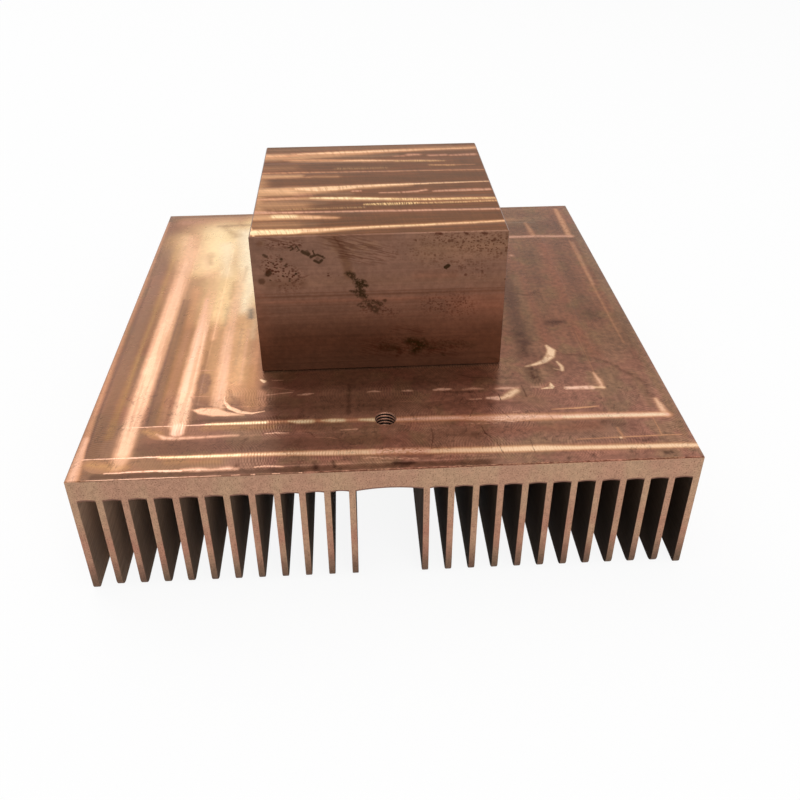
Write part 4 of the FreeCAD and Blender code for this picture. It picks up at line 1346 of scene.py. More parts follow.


# The block's top: streaks from dull to bright, partly their own tone, partly painted reflections and
# highlights.
FLY_CUT_STREAKS_AND_PAINTED_SHEEN = (
    Layer(Tone.BARK, trails(
        (1.6, 0.65, (-26, 13.4, 1.4), (6, 12.4, 1.6)), (1.4, 0.7, (-26, 2.6, 1.4), (26, 4, 2)),
        (0.9, 0.7, (4, 21, 0.8), (26, 21.4, 0.9)), (1.2, 0.5, (-24, -11.6, 1.4), (-4, -12.6, 1)),
        (0.8, 0.5, (-4, -2.6, 0.6), (26, -2.2, 1)), (1.4, 0.55, (-22, -21.4, 1.2), (27, -20, 1.6)),
        (0.4, 0.7, (-27, 27.3, 0.3), (27, 27.3, 0.3)), (0.3, 0.9, (-27, -27.2, 0.2), (27, -27.2, 0.2)),
    ), Breakup.SMOOTH, waver=0.8),
    Layer(Tone.OLIVE, trails(
        (0.9, 0.9, (-13, 19.6, 0.6), (-2, 19, 1.1), (6, 19.4, 0.5)),
        (1, 0.7, (-26, 25.2, 1), (20, 25.2, 1)), (1, 0.7, (-24, -9.4, 0.8), (-12, -10.4, 0.7)),
        (0.8, 0.85, (-14, -4.8, 0.8), (-6, -5.4, 0.8)), (1.2, 0.7, (-25, -21.8, 1.4), (-14, -21.8, 1)),
    ), Breakup.SMOOTH, waver=0.8),
    Layer(Tone.SAND, trails(
        (1.1, 0.75, (-28, 20, 2.6), (-18, 20, 2.4), (-10, 20.8, 1.6), (2, 22.2, 1.1), (14, 23.4, 0.9),
         (27.4, 23.9, 1)),
        (0.8, 0.7, (-20, 17.4, 1.2), (-8, 16.2, 1), (6, 15.4, 0.6), (16, 14.8, 0.3)),
        (0.7, 0.75, (-28, 6.5, 1.4), (-18, 6.4, 1)), (0.7, 0.5, (-16, 5.9, 0.5), (-9, 5.7, 0.6)),
        (0.9, 0.85, (-28, -3.4, 2.4), (-19, -3, 2.6), (-14, -2.6, 2), (-4, -1.4, 1.2), (8, -0.6, 0.7)),
        (0.6, 0.7, (-28, -7.4, 0.8), (-16, -7.6, 0.9), (-4, -8.6, 1.2), (8, -9.6, 0.9), (27.4, -10.2, 0.7)),
        (1.8, 0.7, (-27.4, 4, 1.2), (-26.4, -15, 1.8)), (2.2, 0.65, (-27.4, -11, 2.4), (-17, -11.4, 1.4)),
        (1.8, 0.35, (-27.4, 12, 1), (-20, 12, 0.8)), (1.4, 0.35, (-27.4, -21.4, 1.6), (-18, -21.8, 1.2)),
        (0.6, 0.8, (-27, -17.6, 1.6), (-18, -17.8, 1.4), (-9, -18.8, 0.5)),
        (0.5, 0.8, (-27, -25.2, 1.7), (-14, -25.2, 1.4), (-4, -24.3, 0.8), (27.4, -22.7, 0.6)),
    ), Breakup.SMOOTH, waver=0.6),
    Layer(Tone.ORANGE, trails(
        (0.8, 0.85, (-28, 20.7, 1.5), (-22, 20.6, 1.2)),
        (0.6, 0.9, (-20, 21.4, 1.1), (-8, 22, 1.4), (2, 22.6, 1.2), (12, 23.1, 0.7), (27, 23.5, 0.45)),
        (0.5, 0.7, (-22, 17.6, 0.4), (-10, 16.6, 0.5), (4, 15.7, 0.4)),
        (0.35, 0.75, (-28, 8.8, 0.5), (-18, 8.8, 0.45), (0, 8.4, 0.3), (27.4, 7.8, 0.35)),
        (0.3, 0.5, (-27, 5.4, 0.3), (-15.6, 5.4, 0.3)),
        (0.4, 0.6, (15, 11.7, 0.2), (19, 11.6, 0.4), (25, 11.5, 0.25)),
        (0.3, 0.7, (9, -11.8, 0.3), (27.4, -11.6, 0.35)),
    ), Breakup.GRAIN, waver=0.5),
    Layer(Tone.ROSE, trails(
        (0.5, 0.55, (5.6, 18.6, 0.3), (8, 18.7, 0.45)), (0.6, 0.7, (9.4, 19.4, 0.8), (11.8, 19.4, 0.6)),
        (0.5, 0.7, (14.6, 18.7, 0.5), (18.6, 18.8, 0.6)), (0.5, 0.75, (20, 18.5, 0.45), (26, 18.8, 0.7)),
        (0.8, 0.5, (-18, -5.2, 0.9), (-15, -5.6, 0.5)), (0.4, 0.8, (-27.4, -7.4, 0.4), (-18, -7.5, 0.35)),
        (0.35, 0.85, (-5.2, -3.8, 0.4), (-3.8, -3.9, 0.45)), (0.35, 0.8, (1, -5.3, 0.3), (5.4, -5.3, 0.4)),
        (0.35, 0.9, (6.4, -5.2, 0.4), (9.6, -5, 0.5), (11.6, -4.2, 0.45)),
        (0.4, 0.95, (13.6, -5.1, 0.4), (19, -4.9, 0.6), (26.4, -4.8, 0.6)),
        (0.3, 0.9, (-27, -14.8, 0.8), (-21, -15.2, 0.5), (-10, -15.4, 0.4), (4, -15.7, 0.5),
         (27.4, -16.3, 0.5)),
        (0.5, 0.6, (-16, -18.2, 0.6), (-10, -18.8, 0.3)),
    ), Breakup.GRAIN, waver=0.4),
    Layer(Tone.PALE, trails(
        (0.4, 1, (-18.4, -1.7, 0.6), (-14, -2.1, 1.3), (-9, -1.8, 1.2), (-3, -1, 0.7), (5, -0.5, 0.5),
         (16, -0.1, 0.3), (27, 0.2, 0.15)),
        (0.4, 0.85, (-19, 21.7, 0.3), (-9, 22.2, 0.8), (2, 22.7, 0.7), (12, 23.2, 0.3), (27, 23.6, 0.2)),
        (0.8, 0.55, (-27.4, 20.9, 0.8), (-23, 20.8, 0.5)),
        (0.4, 0.75, (-7, 16.4, 0.2), (-1, 16, 0.5), (5, 15.6, 0.15)),
        (1.1, 0.6, (-27, -2, 0.9), (-19, -3.2, 1.2)),
        (0.3, 0.95, (-17, -25.1, 1), (-10, -24.8, 0.6), (-6, -24.3, 0.4), (8, -23.7, 0.35),
         (27.4, -22.7, 0.22)),
        (0.5, 0.7, (-18, -18, 0.7), (-13, -18.2, 0.5)), (0.15, 0.9, (-27.4, -22, 0.1), (-26.4, -27, 0.2)),
    ), Breakup.GRAIN, waver=0.4),
    Layer(Tone.CREAM, trails(
        (0.35, 1, (-15, -7.4, 0.25), (-12, -7.5, 0.45), (-7, -7.9, 0.65), (-2, -8.5, 0.6), (3, -9, 0.45)),
        (0.3, 1, (-26.4, -25.3, 1.2), (-17.6, -25.3, 1.15)),
        (0.45, 0.9, (-22.6, -17.3, 0.9), (-18.6, -17.5, 0.9)),
        (0.2, 0.8, (-2, -24, 0.15), (12, -23.5, 0.2)),
    ), Breakup.GRAIN, waver=0.4),
    Layer(Tone.GOLD, trails(
        (0.3, 0.95, (3, -9.1, 0.6), (12, -9.8, 0.5), (27.4, -10, 0.45)),
        (0.35, 0.85, (-2.6, -11.8, 0.4), (2, -11.9, 0.7), (9, -11.8, 0.6)),
        (0.3, 0.6, (9, -11.8, 0.4), (16, -11.9, 0.45), (27.4, -11.6, 0.35)),
        (0.5, 0.6, (6, 15.2, 0.3), (12, 14.9, 0.5), (18, 14.6, 0.2)),
        (0.4, 0.45, (14, 11.8, 0.3), (20, 11.4, 0.3)), (0.6, 0.3, (-9, 10.8, 0.5), (3, 10.6, 0.4)),
        (0.4, 0.35, (-23, -13.6, 0.3), (-3, -13.4, 0.3)),
    ), Breakup.SPARKLE, waver=0.4),
)


@dataclass(frozen=True)
class FlyCutFace(Copper):
    """The block's top: long fly-cut streaks, painted gold and pink reflections over brown, with ripples
    across them.
    """

    metallic: float = 0.45
    rough: float = 0.3
    relief: float = 0.02
    gloss: float = 0.03
    ripple: float = 0.55
    lean: float = 0.12
    ground: Triple = (0.89, 0.76, 0.44)
    tinge: Triple = (1.06, 0.98, 0.87)
    layers: tuple[Layer, ...] = FLY_CUT_STREAKS_AND_PAINTED_SHEEN

    def paint(self, bench: Bench, where: Socket) -> tuple[object, Number, Number]:
        """Streaks and painted reflections by place, cut up by ripples that run from front to back.

        Args:
            bench: The material's bench.
            where: Coordinates in millimetres.

        Returns:
            Colour, roughness and height.
        """
        x, y, _ = bench.axes(where)
        flat = bench.point(x, y)
        grain = bench.noise(bench.stretch(flat, (0.05, 1.0, 1.0)), 1.3, 4.0)
        cloud = bench.noise(flat, 0.12, 3.0)
        lean = bench.ramp(x, -27.0, -5.0, self.lean * 4.0, self.lean)
        waver = bench.maths("MULTIPLY_ADD", y, lean, bench.times(bench.noise(flat, 0.5, 2.0), 1.6))
        ripple = bench.maths("SINE", bench.times(bench.plus(x, waver), math.tau / self.ripple))
        leaning = bench.point(bench.plus(x, bench.times(y, lean)), bench.times(y, 0.1))
        cross = bench.noise(leaning, 1.8, 4.0)
        patterns = {
            Breakup.GRAIN: bench.ramp(cross, 0.34, 0.52, 0.62, 1.0),
            Breakup.SPARKLE: bench.ramp(bench.maths("MULTIPLY_ADD", cross, 6.0, ripple), 2.2, 3.6, 0.1, 1.0),
        }
        canvas = Canvas(bench, flat, patterns)
        metal = bench.mix(bench.ramp(grain, 0.42, 0.58), Tone.BROWN.value, Tone.RUSSET.value)
        metal = bench.uneven(metal, cloud, 0.08, 0.76)
        metal = bench.vector("MULTIPLY", metal, self.ground)
        # Painted reflections and highlights in the streaks.
        metal = canvas.lay(metal, self.layers)
        metal = bench.uneven(metal, grain, 0.14)
        metal = bench.scaled(metal, bench.ramp(ripple, -1.0, 1.0, 0.98, 1.02))
        metal = bench.uneven(metal, cross, 0.07)
        metal = bench.vector("MULTIPLY", metal, self.tinge)
        height = bench.maths("MULTIPLY_ADD", ripple, 0.12, grain)
        height = bench.maths("MULTIPLY_ADD", bench.noise(flat, 2.5, 3.0), 0.6, height)
        return metal, self.rough, height


class Face(IntEnum):
    """The material places of the finned base."""

    SAWN = 0
    WALL = 1
    ROOT = 2
    THREAD = 3
    MILLED = 4


@dataclass
class Section:
    """A closed section in x and z, gone round once, and how each point yields towards front and back."""

    x: list[float] = field(default_factory=list)
    z: list[float] = field(default_factory=list)
    sink: list[float] = field(default_factory=list)
    lift: list[float] = field(default_factory=list)
    radius: list[float] = field(default_factory=list)
    face: list[int] = field(default_factory=list)
    smooth: list[bool] = field(default_factory=list)

    def add(self, x: float, z: float, face: Face, sink: float = 0.0, lift: float = 0.0, radius: float = 0.0,
            smooth: bool = False) -> None:
        """Adds a point and the face that runs on from it.

        Args:
            x: Place across the base.
            z: Height.
            face: The finish of the strip that starts here.
            sink: Edge break at the ends, downwards.
            lift: Edge break at the ends, upwards.
            radius: Corner radius at the ends, upwards.
            smooth: Whether that strip is shaded smooth.
        """
        for row, value in zip((self.x, self.z, self.face, self.sink, self.lift, self.radius, self.smooth),
                              (x, z, int(face), sink, lift, radius, smooth)):
            row.append(value)


def soft_step(away: np.ndarray, width: float) -> np.ndarray:
    """A step from 0 to 1 at zero, rounded by a hyperbolic tangent over a width."""
    return 0.5 * (1 + np.tanh(away / width))


def quads(rows: int, columns: int, closed: bool) -> np.ndarray:
    """The faces of a grid of points.

    Args:
        rows: Rows of points.
        columns: Points in each row.
        closed: Whether the last column joins the first.

    Returns:
        Four point numbers for each face, row by row.
    """
    place = np.arange(rows * columns).reshape(rows, columns)
    following = np.roll(place, -1, axis=1)
    faces = np.stack([place[:-1], following[:-1], following[1:], place[1:]], axis=-1)
    return (faces if closed else faces[:, :-1]).reshape(-1, 4)


def stations(edges: Sequence[float], step: float) -> np.ndarray:
    """Places along a line: the given ones, and between them as many as keep gaps to about a step.

    Args:
        edges: Places that must be there.
        step: The widest gap.

    Returns:
        All places in order.
    """
    fixed = np.unique(np.round(edges, 6))
    parts = [np.linspace(a, b, max(int(math.ceil((b - a) / step)), 1), endpoint=False) for a, b in
             zip(fixed[:-1], fixed[1:])]
    return np.append(np.concatenate(parts), fixed[-1])


@dataclass
class FinnedBase:
    """The plate with its fins, cut from one block of copper: sizes in millimetres, as the solid has them."""

    width: float = 126.5
    height: float = 30.0
    root: float = 24.4
    pitch: float = 5.0
    slot: float = 3.7
    first_slot: float = 8.15
    slots_each_side: int = 11
    channel: float = 6.85
    slot_rise: float = 0.25
    channel_rise: float = 0.6
    root_break: float = 0.4
    root_lip: float = 0.1
    plate_break: float = 0.2
    inner_tip: float = 2.0
    outer_tip: float = 0.8
    tip_break: float = 0.15
    hole_place: float = -46.85
    bore: float = 2.1
    bore_break: float = 0.05
    mouth: float = 2.28
    mouth_rim: float = 0.08
    mouth_burr: float = 0.03
    countersink: float = 0.12
    thread_pitch: float = 0.8
    thread_depth: float = 0.36
    thread_rings: int = 57
    flank: float = 1.6
    crest: float = 0.35
    patch: float = 4.0
    patch_step: float = 0.5
    windows: tuple[Window, ...] = (
        (-64.0, -64.0, -46.0, -34.0),
        (-46.0, -64.0, -27.0, -34.0),
        (-27.0, -64.0, 0.0, -34.0),
        (0.0, -64.0, 27.0, -34.0),
        (27.0, -64.0, 64.0, -34.0),
        (-64.0, -34.0, -27.0, 64.0),
        (-27.0, -34.0, 27.0, 64.0),
        (27.0, -34.0, 64.0, 64.0),
    )
    pass_edges: tuple[float, ...] = (2.25, 12.4, 22.5)
    beside: tuple[float, ...] = (-0.35, -0.12, 0.0, 0.12, 0.35)
    pass_step: float = 0.035
    pass_blend: float = 0.14
    burr: float = 0.06
    burr_inset: float = 0.22
    burr_width: float = 0.12
    burr_end: float = -20.0
    burr_fade: float = 4.0

    @property
    def half(self) -> float:
        """Half the width."""
        return self.width / 2

    def top(self, x: np.ndarray, y: np.ndarray) -> np.ndarray:
        """The milled top's height over a point.

        Each pass lies a step below the next one inwards, with the step rounded over a third of a millimetre.
        Along the left part of the front edge stands a ragged burr, a product of sines along the edge.

        Args:
            x: Places across.
            y: Places from front to back.

        Returns:
            Heights in millimetres.
        """
        inward = self.half - np.maximum(np.abs(x), np.abs(y))
        height = np.full_like(inward, self.height)
        for border in self.pass_edges:
            height -= self.pass_step * soft_step(border - inward, self.pass_blend)
        from_ridge = y + self.half - self.burr_inset
        ragged = np.sin(x * 2.3) * np.sin(x * 0.71 + 1.0) + 0.6 * np.sin(x * 5.1 + 0.4)
        left_part = soft_step(self.burr_end - x, self.burr_fade)
        ridge = np.exp(-((from_ridge / self.burr_width) ** 2))
        height += self.burr * left_part * np.clip(ragged, 0.0, 1.0) * ridge
        return np.minimum(height, self.height)

    def root_height(self, x: np.ndarray) -> np.ndarray:
        """The channel's arched root over a place across it: a parabola that rises to the middle."""
        return self.root + self.channel_rise * (1 - (x / self.channel) ** 2)

    def across(self) -> np.ndarray:
        """Places across the top: close at the pass borders and round the hole.

        Returns:
            All places in order.
        """
        near = [side * (self.half - border + step) for side in (-1, 1) for border in self.pass_edges
                for step in self.beside]
        hole = np.arange(-self.patch, self.patch + 1e-6, self.patch_step)
        ends = [-self.half + self.plate_break, self.half - self.plate_break]
        return stations([*near, *hole, *ends], 2.2)

    def lengthways(self) -> np.ndarray:
        """Places from front to back: close at the ends, at the pass borders and beside the hole.

        Returns:
            All places in order.
        """
        ends = [0.0, 0.1, 0.2, 0.3, 0.4, 0.6, 0.8, 1.1, 1.5, 2.0]
        near = [border + step for border in self.pass_edges for step in self.beside]
        places = [side * (self.half - away) for side in (-1, 1) for away in (*ends, *near)]
        hole = self.hole_place + np.arange(-self.patch, self.patch + 1e-6, self.patch_step)
        clear = [place for place in places if abs(place - self.hole_place) > self.patch + 0.05]
        return stations([*clear, *hole], 2.6)

    def section(self) -> Section:
        """The outline of plate and fins, clockwise seen from the front, from the top's left end.

        Returns:
            The section's points with their finishes and end breaks.
        """
        made = Section()
        edge = self.half - self.plate_break
        for place in self.across()[:-1]:
            made.add(place, self.height, Face.MILLED, sink=self.plate_break, smooth=True)
        made.add(edge, self.height, Face.MILLED, sink=self.plate_break)
        made.add(self.half, self.height - self.plate_break, Face.SAWN)
        right = self.first_slot + self.pitch * np.arange(self.slots_each_side)
        slots = [(start, start + self.slot, self.slot_rise) for start in right[::-1]]
        slots.append((-self.channel, self.channel, self.channel_rise))
        slots += [(-start - self.slot, -start, self.slot_rise) for start in right]
        fin_right = self.half
        for left, right_end, rise in slots:
            self.add_fin(made, fin_right, right_end)
            self.add_root(made, left, right_end, rise)
            fin_right = left
        self.add_fin(made, fin_right, -self.half)
        made.add(-self.half, self.height - self.plate_break, Face.MILLED)
        return made

    def add_fin(self, made: Section, right: float, left: float) -> None:
        """Adds a fin's tip, with its wall down on the right and up on the left.

        Args:
            made: The section so far.
            right: The fin's right face.
            left: The fin's left face.
        """
        outer = max(abs(right), abs(left)) > self.half - 0.01
        radius = self.outer_tip if outer else self.inner_tip
        cut = self.tip_break
        made.add(right, cut, Face.SAWN, radius=radius)
        made.add(right - cut * 0.4, cut * 0.25, Face.SAWN, radius=radius)
        made.add(right - cut * 1.2, 0.0, Face.SAWN, radius=radius)
        made.add(left + cut * 1.2, 0.0, Face.SAWN, radius=radius)
        made.add(left + cut * 0.4, cut * 0.25, Face.SAWN, radius=radius)
        made.add(left, cut, Face.SAWN if left < -self.half + 0.01 else Face.WALL, radius=radius)

    def add_root(self, made: Section, left: float, right: float, rise: float) -> None:
        """Adds an arched root between two fins, from the right wall's top to the left's.

        Args:
            made: The section so far.
            left: The cut's left side.
            right: The cut's right side.
            rise: How far the arch stands above its springing.
        """
        middle = (left + right) / 2
        reach = (right - left) / 2
        if reach > self.patch:
            inside = np.arange(-self.patch, self.patch + 1e-6, self.patch_step)
            between = (reach + self.patch) / 2
            steps = np.concatenate([[-reach, -between], inside, [between, reach]])
        else:
            steps = np.linspace(-reach, reach, 7)
        for step in steps[::-1][:-1]:
            height = self.root + rise * (1 - (step / reach) ** 2)
            made.add(middle + step, height, Face.ROOT, lift=self.root_break, smooth=True)
        made.add(left, self.root, Face.WALL, lift=self.root_break)

    def sheet(self) -> tuple[np.ndarray, np.ndarray, np.ndarray, np.ndarray]:
        """Sweeps the section from front to back.

        A point yields near an end by its edge break less the distance to that end, by the whole height of the
        lip over the lip's depth, or by its corner radius, as a quarter circle.

        Returns:
            Points, faces, each face's finish and whether it is smooth.
        """
        made = self.section()
        y = self.lengthways()[:, None]
        x, z = np.array(made.x)[None, :], np.array(made.z)[None, :]
        sink, lift, radius = (np.array(row)[None, :] for row in (made.sink, made.lift, made.radius))
        away = np.minimum(y + self.half, self.half - y)
        inside = np.clip(radius - away, 0.0, None)
        rounded = radius - np.sqrt(np.clip(radius**2 - inside**2, 0.0, None))
        height = z + lift * np.clip(1 - away / self.root_lip, 0.0, 1.0) + rounded
        top = (np.array(made.face) == Face.MILLED)[None, :] & (z > self.height - 0.01)
        milled = self.top(np.broadcast_to(x, height.shape), np.broadcast_to(y, height.shape))
        height = np.where(top, milled - np.clip(sink - away, 0.0, None), height)
        points = np.stack([*np.broadcast_arrays(x, y, height)], axis=-1)
        faces = quads(*height.shape, closed=True)
        finish = np.tile(made.face, height.shape[0] - 1)
        smooth = np.tile(made.smooth, height.shape[0] - 1)
        return points.reshape(-1, 3), faces, finish, smooth

    def ring(self, level: str) -> np.ndarray:
        """The square of points that the hole's patch grows from, anticlockwise from its near left corner.

        Args:
            level: "top" for the plate's top, "root" for the channel's root.

        Returns:
            The points, in millimetres.
        """
        run = np.arange(-self.patch, self.patch - 1e-6, self.patch_step)
        flat = np.full_like(run, self.patch)
        x = np.concatenate([run, flat, -run, -flat])
        y = np.concatenate([-flat, run, flat, -run]) + self.hole_place
        z = self.top(x, y) if level == "top" else self.root_height(x)
        return np.stack([x, y, z], axis=-1)

    def hole(self) -> tuple[np.ndarray, np.ndarray, np.ndarray]:
        """The tapped hole: a patch from a square to the mouth, the countersink, the thread and a patch below.

        The thread's radius is the bore plus a groove that depends on height over pitch less turn over a full
        turn, so each groove climbs one pitch in one turn.

        Returns:
            Points, faces and each face's finish.
        """
        square, below = self.ring("top"), self.ring("root")
        angle = np.arctan2(square[:, 1] - self.hole_place, square[:, 0])
        circle = np.stack([np.cos(angle), np.sin(angle)], axis=-1)
        rows: list[np.ndarray] = []
        finish: list[int] = []

        def lay(radius: np.ndarray | float, height: np.ndarray, face: Face) -> None:
            """Adds a ring of points about the hole's axis.

            Args:
                radius: Its radius, or one for each point.
                height: Its height at each point.
                face: The finish of the strip that starts here.
            """
            flat = circle * np.broadcast_to(radius, angle.shape)[:, None] + (0.0, self.hole_place)
            rows.append(np.column_stack([flat, height]))
            finish.append(face)

        rows.append(square)
        finish.append(Face.MILLED)
        outer = np.hypot(square[:, 0], square[:, 1] - self.hole_place)
        lip = self.mouth + self.mouth_rim
        for share in (0.3, 0.6, 0.82, 0.94):
            radius = outer + (lip - outer) * share
            flat = circle * radius[:, None]
            lay(radius, self.top(flat[:, 0], flat[:, 1] + self.hole_place), Face.MILLED)
        rim = self.top(circle[:, 0] * self.mouth, circle[:, 1] * self.mouth + self.hole_place)
        lay(lip, rim + self.mouth_burr, Face.MILLED)
        lay(self.mouth, rim, Face.THREAD)
        floor = self.root_height(circle[:, 0] * self.bore)
        start = rim - self.countersink
        for share in np.linspace(0.0, 1.0, self.thread_rings):
            height = start + (floor + self.bore_break - start) * share
            turn = (height / self.thread_pitch - angle / math.tau) % 1.0
            groove = np.clip(self.flank * (1 - np.abs(turn * 2 - 1)) - self.crest, 0.0, 1.0)
            cone = self.mouth - (rim - height)
            lay(np.maximum(self.bore + self.thread_depth * groove, cone), height, Face.THREAD)
        lay(self.bore + self.bore_break, floor, Face.ROOT)
        for share in (0.35, 0.7):
            radius = self.bore + (outer - self.bore) * share
            lay(radius, self.root_height(circle[:, 0] * radius), Face.ROOT)
        rows.append(below)
        points = np.stack(rows)
        faces = quads(*points.shape[:2], closed=True)[:, ::-1]
        return points.reshape(-1, 3), faces, np.repeat(finish, points.shape[1])

    def in_patch(self, points: np.ndarray, faces: np.ndarray, finish: np.ndarray) -> np.ndarray:
        """Which faces of the sheet the hole's patches take the place of.

        Args:
            points: The sheet's points.
            faces: Its faces.
            finish: Each face's finish.

        Returns:
            True for each such face.
        """
        middle = points[faces].mean(axis=1)
        near = (np.abs(middle[:, 0]) < self.patch) & (np.abs(middle[:, 1] - self.hole_place) < self.patch)
        return near & ((finish == Face.MILLED) | (finish == Face.ROOT))

    def build(self) -> bpy.types.Object:
        """Joins the sheet, its two ends and the hole into one closed piece.

        Returns:
            The finned base.
        """
        points, faces, finish, smooth = self.sheet()
        keep = ~self.in_patch(points, faces, finish)
        count = len(self.section().x)
        rows = len(points) // count
        hole_points, hole_faces, hole_finish = self.hole()
        every = np.concatenate([points, hole_points]) * METRES
        lists = faces[keep].tolist() + (hole_faces + len(points)).tolist()
        lists += [list(range(count))[::-1], list(range((rows - 1) * count, rows * count))]
        places = np.concatenate([finish[keep], hole_finish, [Face.SAWN, Face.SAWN]])
        soft = np.concatenate([smooth[keep], np.ones(len(hole_faces), bool), [False, False]])
        middle = np.array([every[face].mean(axis=0) for face in lists]) / METRES
        x, y = middle[:, 0], middle[:, 1]
        for number, (left, front, right, back) in enumerate(self.windows):
            inside = (x >= left) & (x < right) & (y >= front) & (y < back)
            places[inside & (places >= Face.MILLED)] = Face.MILLED + number
        finishes = (
            SawnFace("sawn end"),
            SlotWall("slot wall"),
            RootFace("arched root"),
            ThreadFace("tapped thread"),
            *(MilledFace(f"milled top {place}", window=window) for place, window in enumerate(self.windows)),
        )
        return closed_piece("milled_finned_base", every, lists, places, soft, finishes)


def closed_piece(name: str, points: np.ndarray, faces: list, places: np.ndarray, smooth: np.ndarray,
                 finishes: Sequence[Copper]) -> bpy.types.Object:
    """Makes a mesh object, joins the points that lie together and turns every face outwards.

    Args:
        name: The piece's name.
        points: Points in metres.
        faces: Point numbers of each face.
        places: Each face's material place.
        smooth: Whether each face is shaded smooth.
        finishes: The materials, in the order of their places.

    Returns:
        The object, at the origin.
    """
    mesh = bpy.data.meshes.new(name)
    mesh.from_pydata(points.tolist(), [], faces)
    mesh.polygons.foreach_set("material_index", places.astype(np.int32))
    mesh.polygons.foreach_set("use_smooth", smooth.astype(bool))
    for finish in finishes:
        mesh.materials.append(finish.material())
    work = bmesh.new()
    work.from_mesh(mesh)
    bmesh.ops.remove_doubles(work, verts=work.verts, dist=WELD)
    bmesh.ops.recalc_face_normals(work, faces=work.faces)
    open_edges = sum(1 for edge in work.edges if len(edge.link_faces) != 2)
    work.to_mesh(mesh)
    work.free()
    mesh.update()
    made = bpy.data.objects.new(name, mesh)
    bpy.context.scene.collection.objects.link(made)
    LOG.info("%s: %d faces, %d open edges", name, len(mesh.polygons), open_edges)
    return made


@dataclass
class PedestalBlock:
    """The square block that stands on the plate: sizes in millimetres, as the solid has them."""

    side: float = 55.0
    foot: float = 30.0
    top: float = 64.0
    top_break: float = 0.25
    foot_break: float = 0.3
    corner: float = 0.12
    streaks: tuple[float, ...] = (-24.3, -16.0, -8.6, -0.2, 8.2, 15.6, 22.4)
    streak_depth: float = 0.04
    streak_lean: float = 0.012
    streak_edge: float = 0.15
    streak_run: float = 3.0
    line_depth: float = 0.012

    @property
    def half(self) -> float:
        """Half the side."""
        return self.side / 2

    def cut(self, x: np.ndarray, y: np.ndarray) -> np.ndarray:
        """The fly-cut top's height over a point.

        Each streak is a shallow sawtooth across the block that leans a little along it.

        Args:
            x: Places across.
            y: Places from front to back.

        Returns:
            Heights in millimetres.
        """
        height = np.full_like(x, self.top)
        for border in self.streaks:
            away = y - border - self.streak_lean * x
            fall = np.exp(-np.clip(away, 0, None) / self.streak_run)
            height -= self.streak_depth * soft_step(away, self.streak_edge) * fall
        return height

    def side_grid(self, run: np.ndarray) -> tuple[np.ndarray, np.ndarray]:
        """Sweeps the outline of the top up the sides.

        The sides lean in by the breaks at top and foot, and each height has its own fine draw line.

        Args:
            run: Places along one side.

        Returns:
            Points in rows from the foot up, and the faces between them.
        """
        flat = np.full_like(run[:-1], run[-1])
        x = np.concatenate([run[:-1], flat, -run[:-1], -flat]) / self.half
        y = np.concatenate([-flat, run[:-1], flat, -run[:-1]]) / self.half
        corner = (np.abs(x) > 1 - 1e-6) & (np.abs(y) > 1 - 1e-6)
        inner = stations([self.foot + self.foot_break, self.top - self.top_break], 0.4)
        heights = np.concatenate([[self.foot], inner, [self.top]])
        rng = np.random.default_rng(7)
        reach = self.half - self.line_depth * rng.random(len(heights))
        reach[0], reach[-1] = self.half - self.foot_break, self.half - self.top_break
        reach = reach[:, None] - 0.4 * self.corner * corner[None, :]
        points = np.stack([x * reach, y * reach, np.broadcast_to(heights[:, None], reach.shape)], axis=-1)
        points[-1, :, 2] = self.cut(points[-1, :, 0], points[-1, :, 1])
        return points.reshape(-1, 3), quads(*reach.shape, closed=True)

    def build(self) -> bpy.types.Object:
        """Joins sides, top and foot into one closed piece.

        Returns:
            The block.
        """
        near = [border + step for border in self.streaks for step in (-0.3, 0.0, 0.3)]
        ends = [-self.half, -self.half + self.corner, self.half - self.corner, self.half]
        run = stations([*near, *ends], 1.2)
        points, faces = self.side_grid(run)
        count = 4 * (len(run) - 1)
        rim = points[-count:]
        scale = (self.half - self.top_break) / self.half
        x, y = np.meshgrid(run * scale, run * scale)
        top = np.stack([x, y, self.cut(x, y)], axis=-1)
        for row, column, place in ((0, 0, 0), (0, -1, 1), (-1, -1, 2), (-1, 0, 3)):
            top[row, column] = rim[place * (len(run) - 1)]
        top_faces = quads(*x.shape, closed=False) + len(points)
        lists = faces.tolist() + top_faces.tolist() + [list(range(count))[::-1]]
        ahead = np.arange(len(faces)) % count < len(run) - 1
        places = np.concatenate([np.where(ahead, 2, 0), np.ones(len(top_faces)), [0]])
        smooth = np.concatenate([np.zeros(len(faces)), np.ones(len(top_faces)), [0]]).astype(bool)
        every = np.concatenate([points, top.reshape(-1, 3)]) * METRES
        finishes = (
            DrawnBar("drawn bar", marks=(), dotted=()),
            FlyCutFace("fly-cut top"),
            DrawnBar("spotted bar"),
        )
        return closed_piece("drawn_copper_block", every, lists, places, smooth, finishes)


class Piece(Enum):
    """A piece of the sink with the solid that it stands for and the finish it takes."""

    BASE = ("finned_base", "milled_copper")
    BLOCK = ("pedestal_block", "bar_copper")

    def dress(self, made: bpy.types.Object) -> None:
        """Lets the made piece ride and hides the solid that it stands for.

        Args:
            made: The made piece.
        """
        node, slot = self.value
        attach(made, "root")
        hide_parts(node)


@dataclass(frozen=True)
class Lamp:
    """A square soft lamp that looks at the middle of the sink."""

    name: str
    place: Triple
    size: float
    power: float


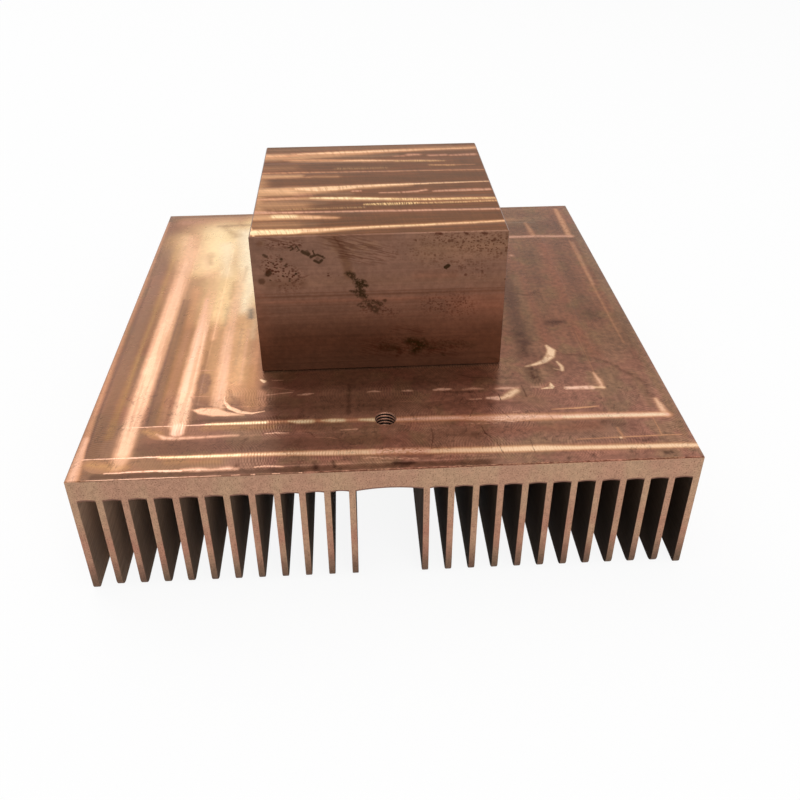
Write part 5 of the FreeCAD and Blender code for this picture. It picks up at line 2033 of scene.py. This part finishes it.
@dataclass
class Studio:
    """A pale floor, a white surround and soft lamps, with places in metres."""

    floor_half: float = 4.0
    floor_glow: float = 0.9
    ambient: float = 0.4
    aim: Triple = (0.0, 0.0, 0.035)
    lamps: tuple[Lamp, ...] = (
        Lamp("window", (-0.45, 0.55, 0.75), 0.7, 3.2),
        Lamp("front fill", (0.35, -0.95, 0.45), 0.8, 5.5),
        Lamp("overhead", (0.1, -0.1, 1.0), 0.8, 3.6),
    )

    def seen(self, bench: Bench) -> Socket:
        """One where the floor or the surround is seen straight on, in a reflection or through something.

        Args:
            bench: The material's or world's bench.

        Returns:
            One where it is seen, and zero where it lights.
        """
        path = bench.node("LightPath").outputs
        seen = bench.maths("MAXIMUM", path["Is Camera Ray"], path["Is Glossy Ray"])
        return bench.maths("MAXIMUM", seen, path["Is Transmission Ray"])

    def floor(self) -> bpy.types.Object:
        """The floor: matt white that keeps the shadow, lifted towards white where it is seen.

        Returns:
            The floor.
        """
        mesh = bpy.data.meshes.new("floor")
        reach = self.floor_half
        corners = [(x * reach, y * reach, 0.0) for x, y in ((-1, -1), (1, -1), (1, 1), (-1, 1))]
        mesh.from_pydata(corners, [], [range(4)])
        made = bpy.data.objects.new("floor", mesh)
        bpy.context.scene.collection.objects.link(made)
        material = bpy.data.materials.new("pale floor")
        material.use_nodes = True
        material.node_tree.nodes.clear()
        bench = Bench(material.node_tree)
        matt = bench.node("BsdfDiffuse")
        matt.inputs["Color"].default_value = (0.9, 0.9, 0.9, 1.0)
        glow = bench.node("Emission")
        glow.inputs["Color"].default_value = WHITE
        blend = bench.node("MixShader")
        bench.feed(blend.inputs[0], bench.times(self.seen(bench), self.floor_glow))
        bench.feed(blend.inputs[1], matt.outputs[0])
        bench.feed(blend.inputs[2], glow.outputs[0])
        bench.feed(bench.node("OutputMaterial").inputs["Surface"], blend.outputs[0])
        mesh.materials.append(material)
        return made

    def surround(self) -> None:
        """The world: white where it is seen, and a plain level where it lights."""
        world = bpy.data.worlds.new("surround")
        world.use_nodes = True
        world.node_tree.nodes.clear()
        bench = Bench(world.node_tree)
        sky = bench.node("Background")
        sky.inputs["Color"].default_value = WHITE
        bench.feed(sky.inputs["Strength"], bench.ramp(self.seen(bench), 0.0, 1.0, self.ambient, 1.0))
        bench.feed(bench.node("OutputWorld").inputs["Surface"], sky.outputs[0])
        bpy.context.scene.world = world

    def build(self) -> None:
        """Makes the floor, the surround and the lamps."""
        self.floor()
        self.surround()
        for lamp in self.lamps:
            light = bpy.data.lights.new(lamp.name, "AREA")
            light.size = lamp.size
            light.energy = lamp.power
            made = bpy.data.objects.new(lamp.name, light)
            made.location = lamp.place
            made.rotation_euler = (Vector(self.aim) - Vector(lamp.place)).to_track_quat("-Z", "Y").to_euler()
            bpy.context.scene.collection.objects.link(made)


@dataclass(frozen=True)
class Viewpoint:
    """The camera, set at the photograph's own viewpoint."""

    place: Triple = (-5.408, -192.119, 140.563)
    turn: Triple = (56.771, 0.295, -3.127)
    lens: float = 38.49
    sensor: float = 36.0
    shift: Spot = (0.0065, -0.0523)

    def build(self) -> bpy.types.Object:
        """Makes the camera and makes it the scene's own.

        Returns:
            The camera.
        """
        camera = bpy.data.cameras.new("camera")
        camera.lens = self.lens
        camera.sensor_width = self.sensor
        camera.shift_x, camera.shift_y = self.shift
        camera.clip_start = 0.01
        made = bpy.data.objects.new("camera", camera)
        made.location = Vector(self.place) * METRES
        made.rotation_euler = Euler([math.radians(angle) for angle in self.turn])
        bpy.context.scene.collection.objects.link(made)
        bpy.context.scene.camera = made
        return made


def main() -> None:
    """Builds the sink and its studio."""
    logging.basicConfig(level=logging.INFO, format="%(message)s")
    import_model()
    bpy.context.scene.view_settings.view_transform = "Standard"
    Viewpoint().build()
    Studio().build()
    for piece, maker in ((Piece.BASE, FinnedBase()), (Piece.BLOCK, PedestalBlock())):
        piece.dress(maker.build())


if __name__ == "__main__":
    main()
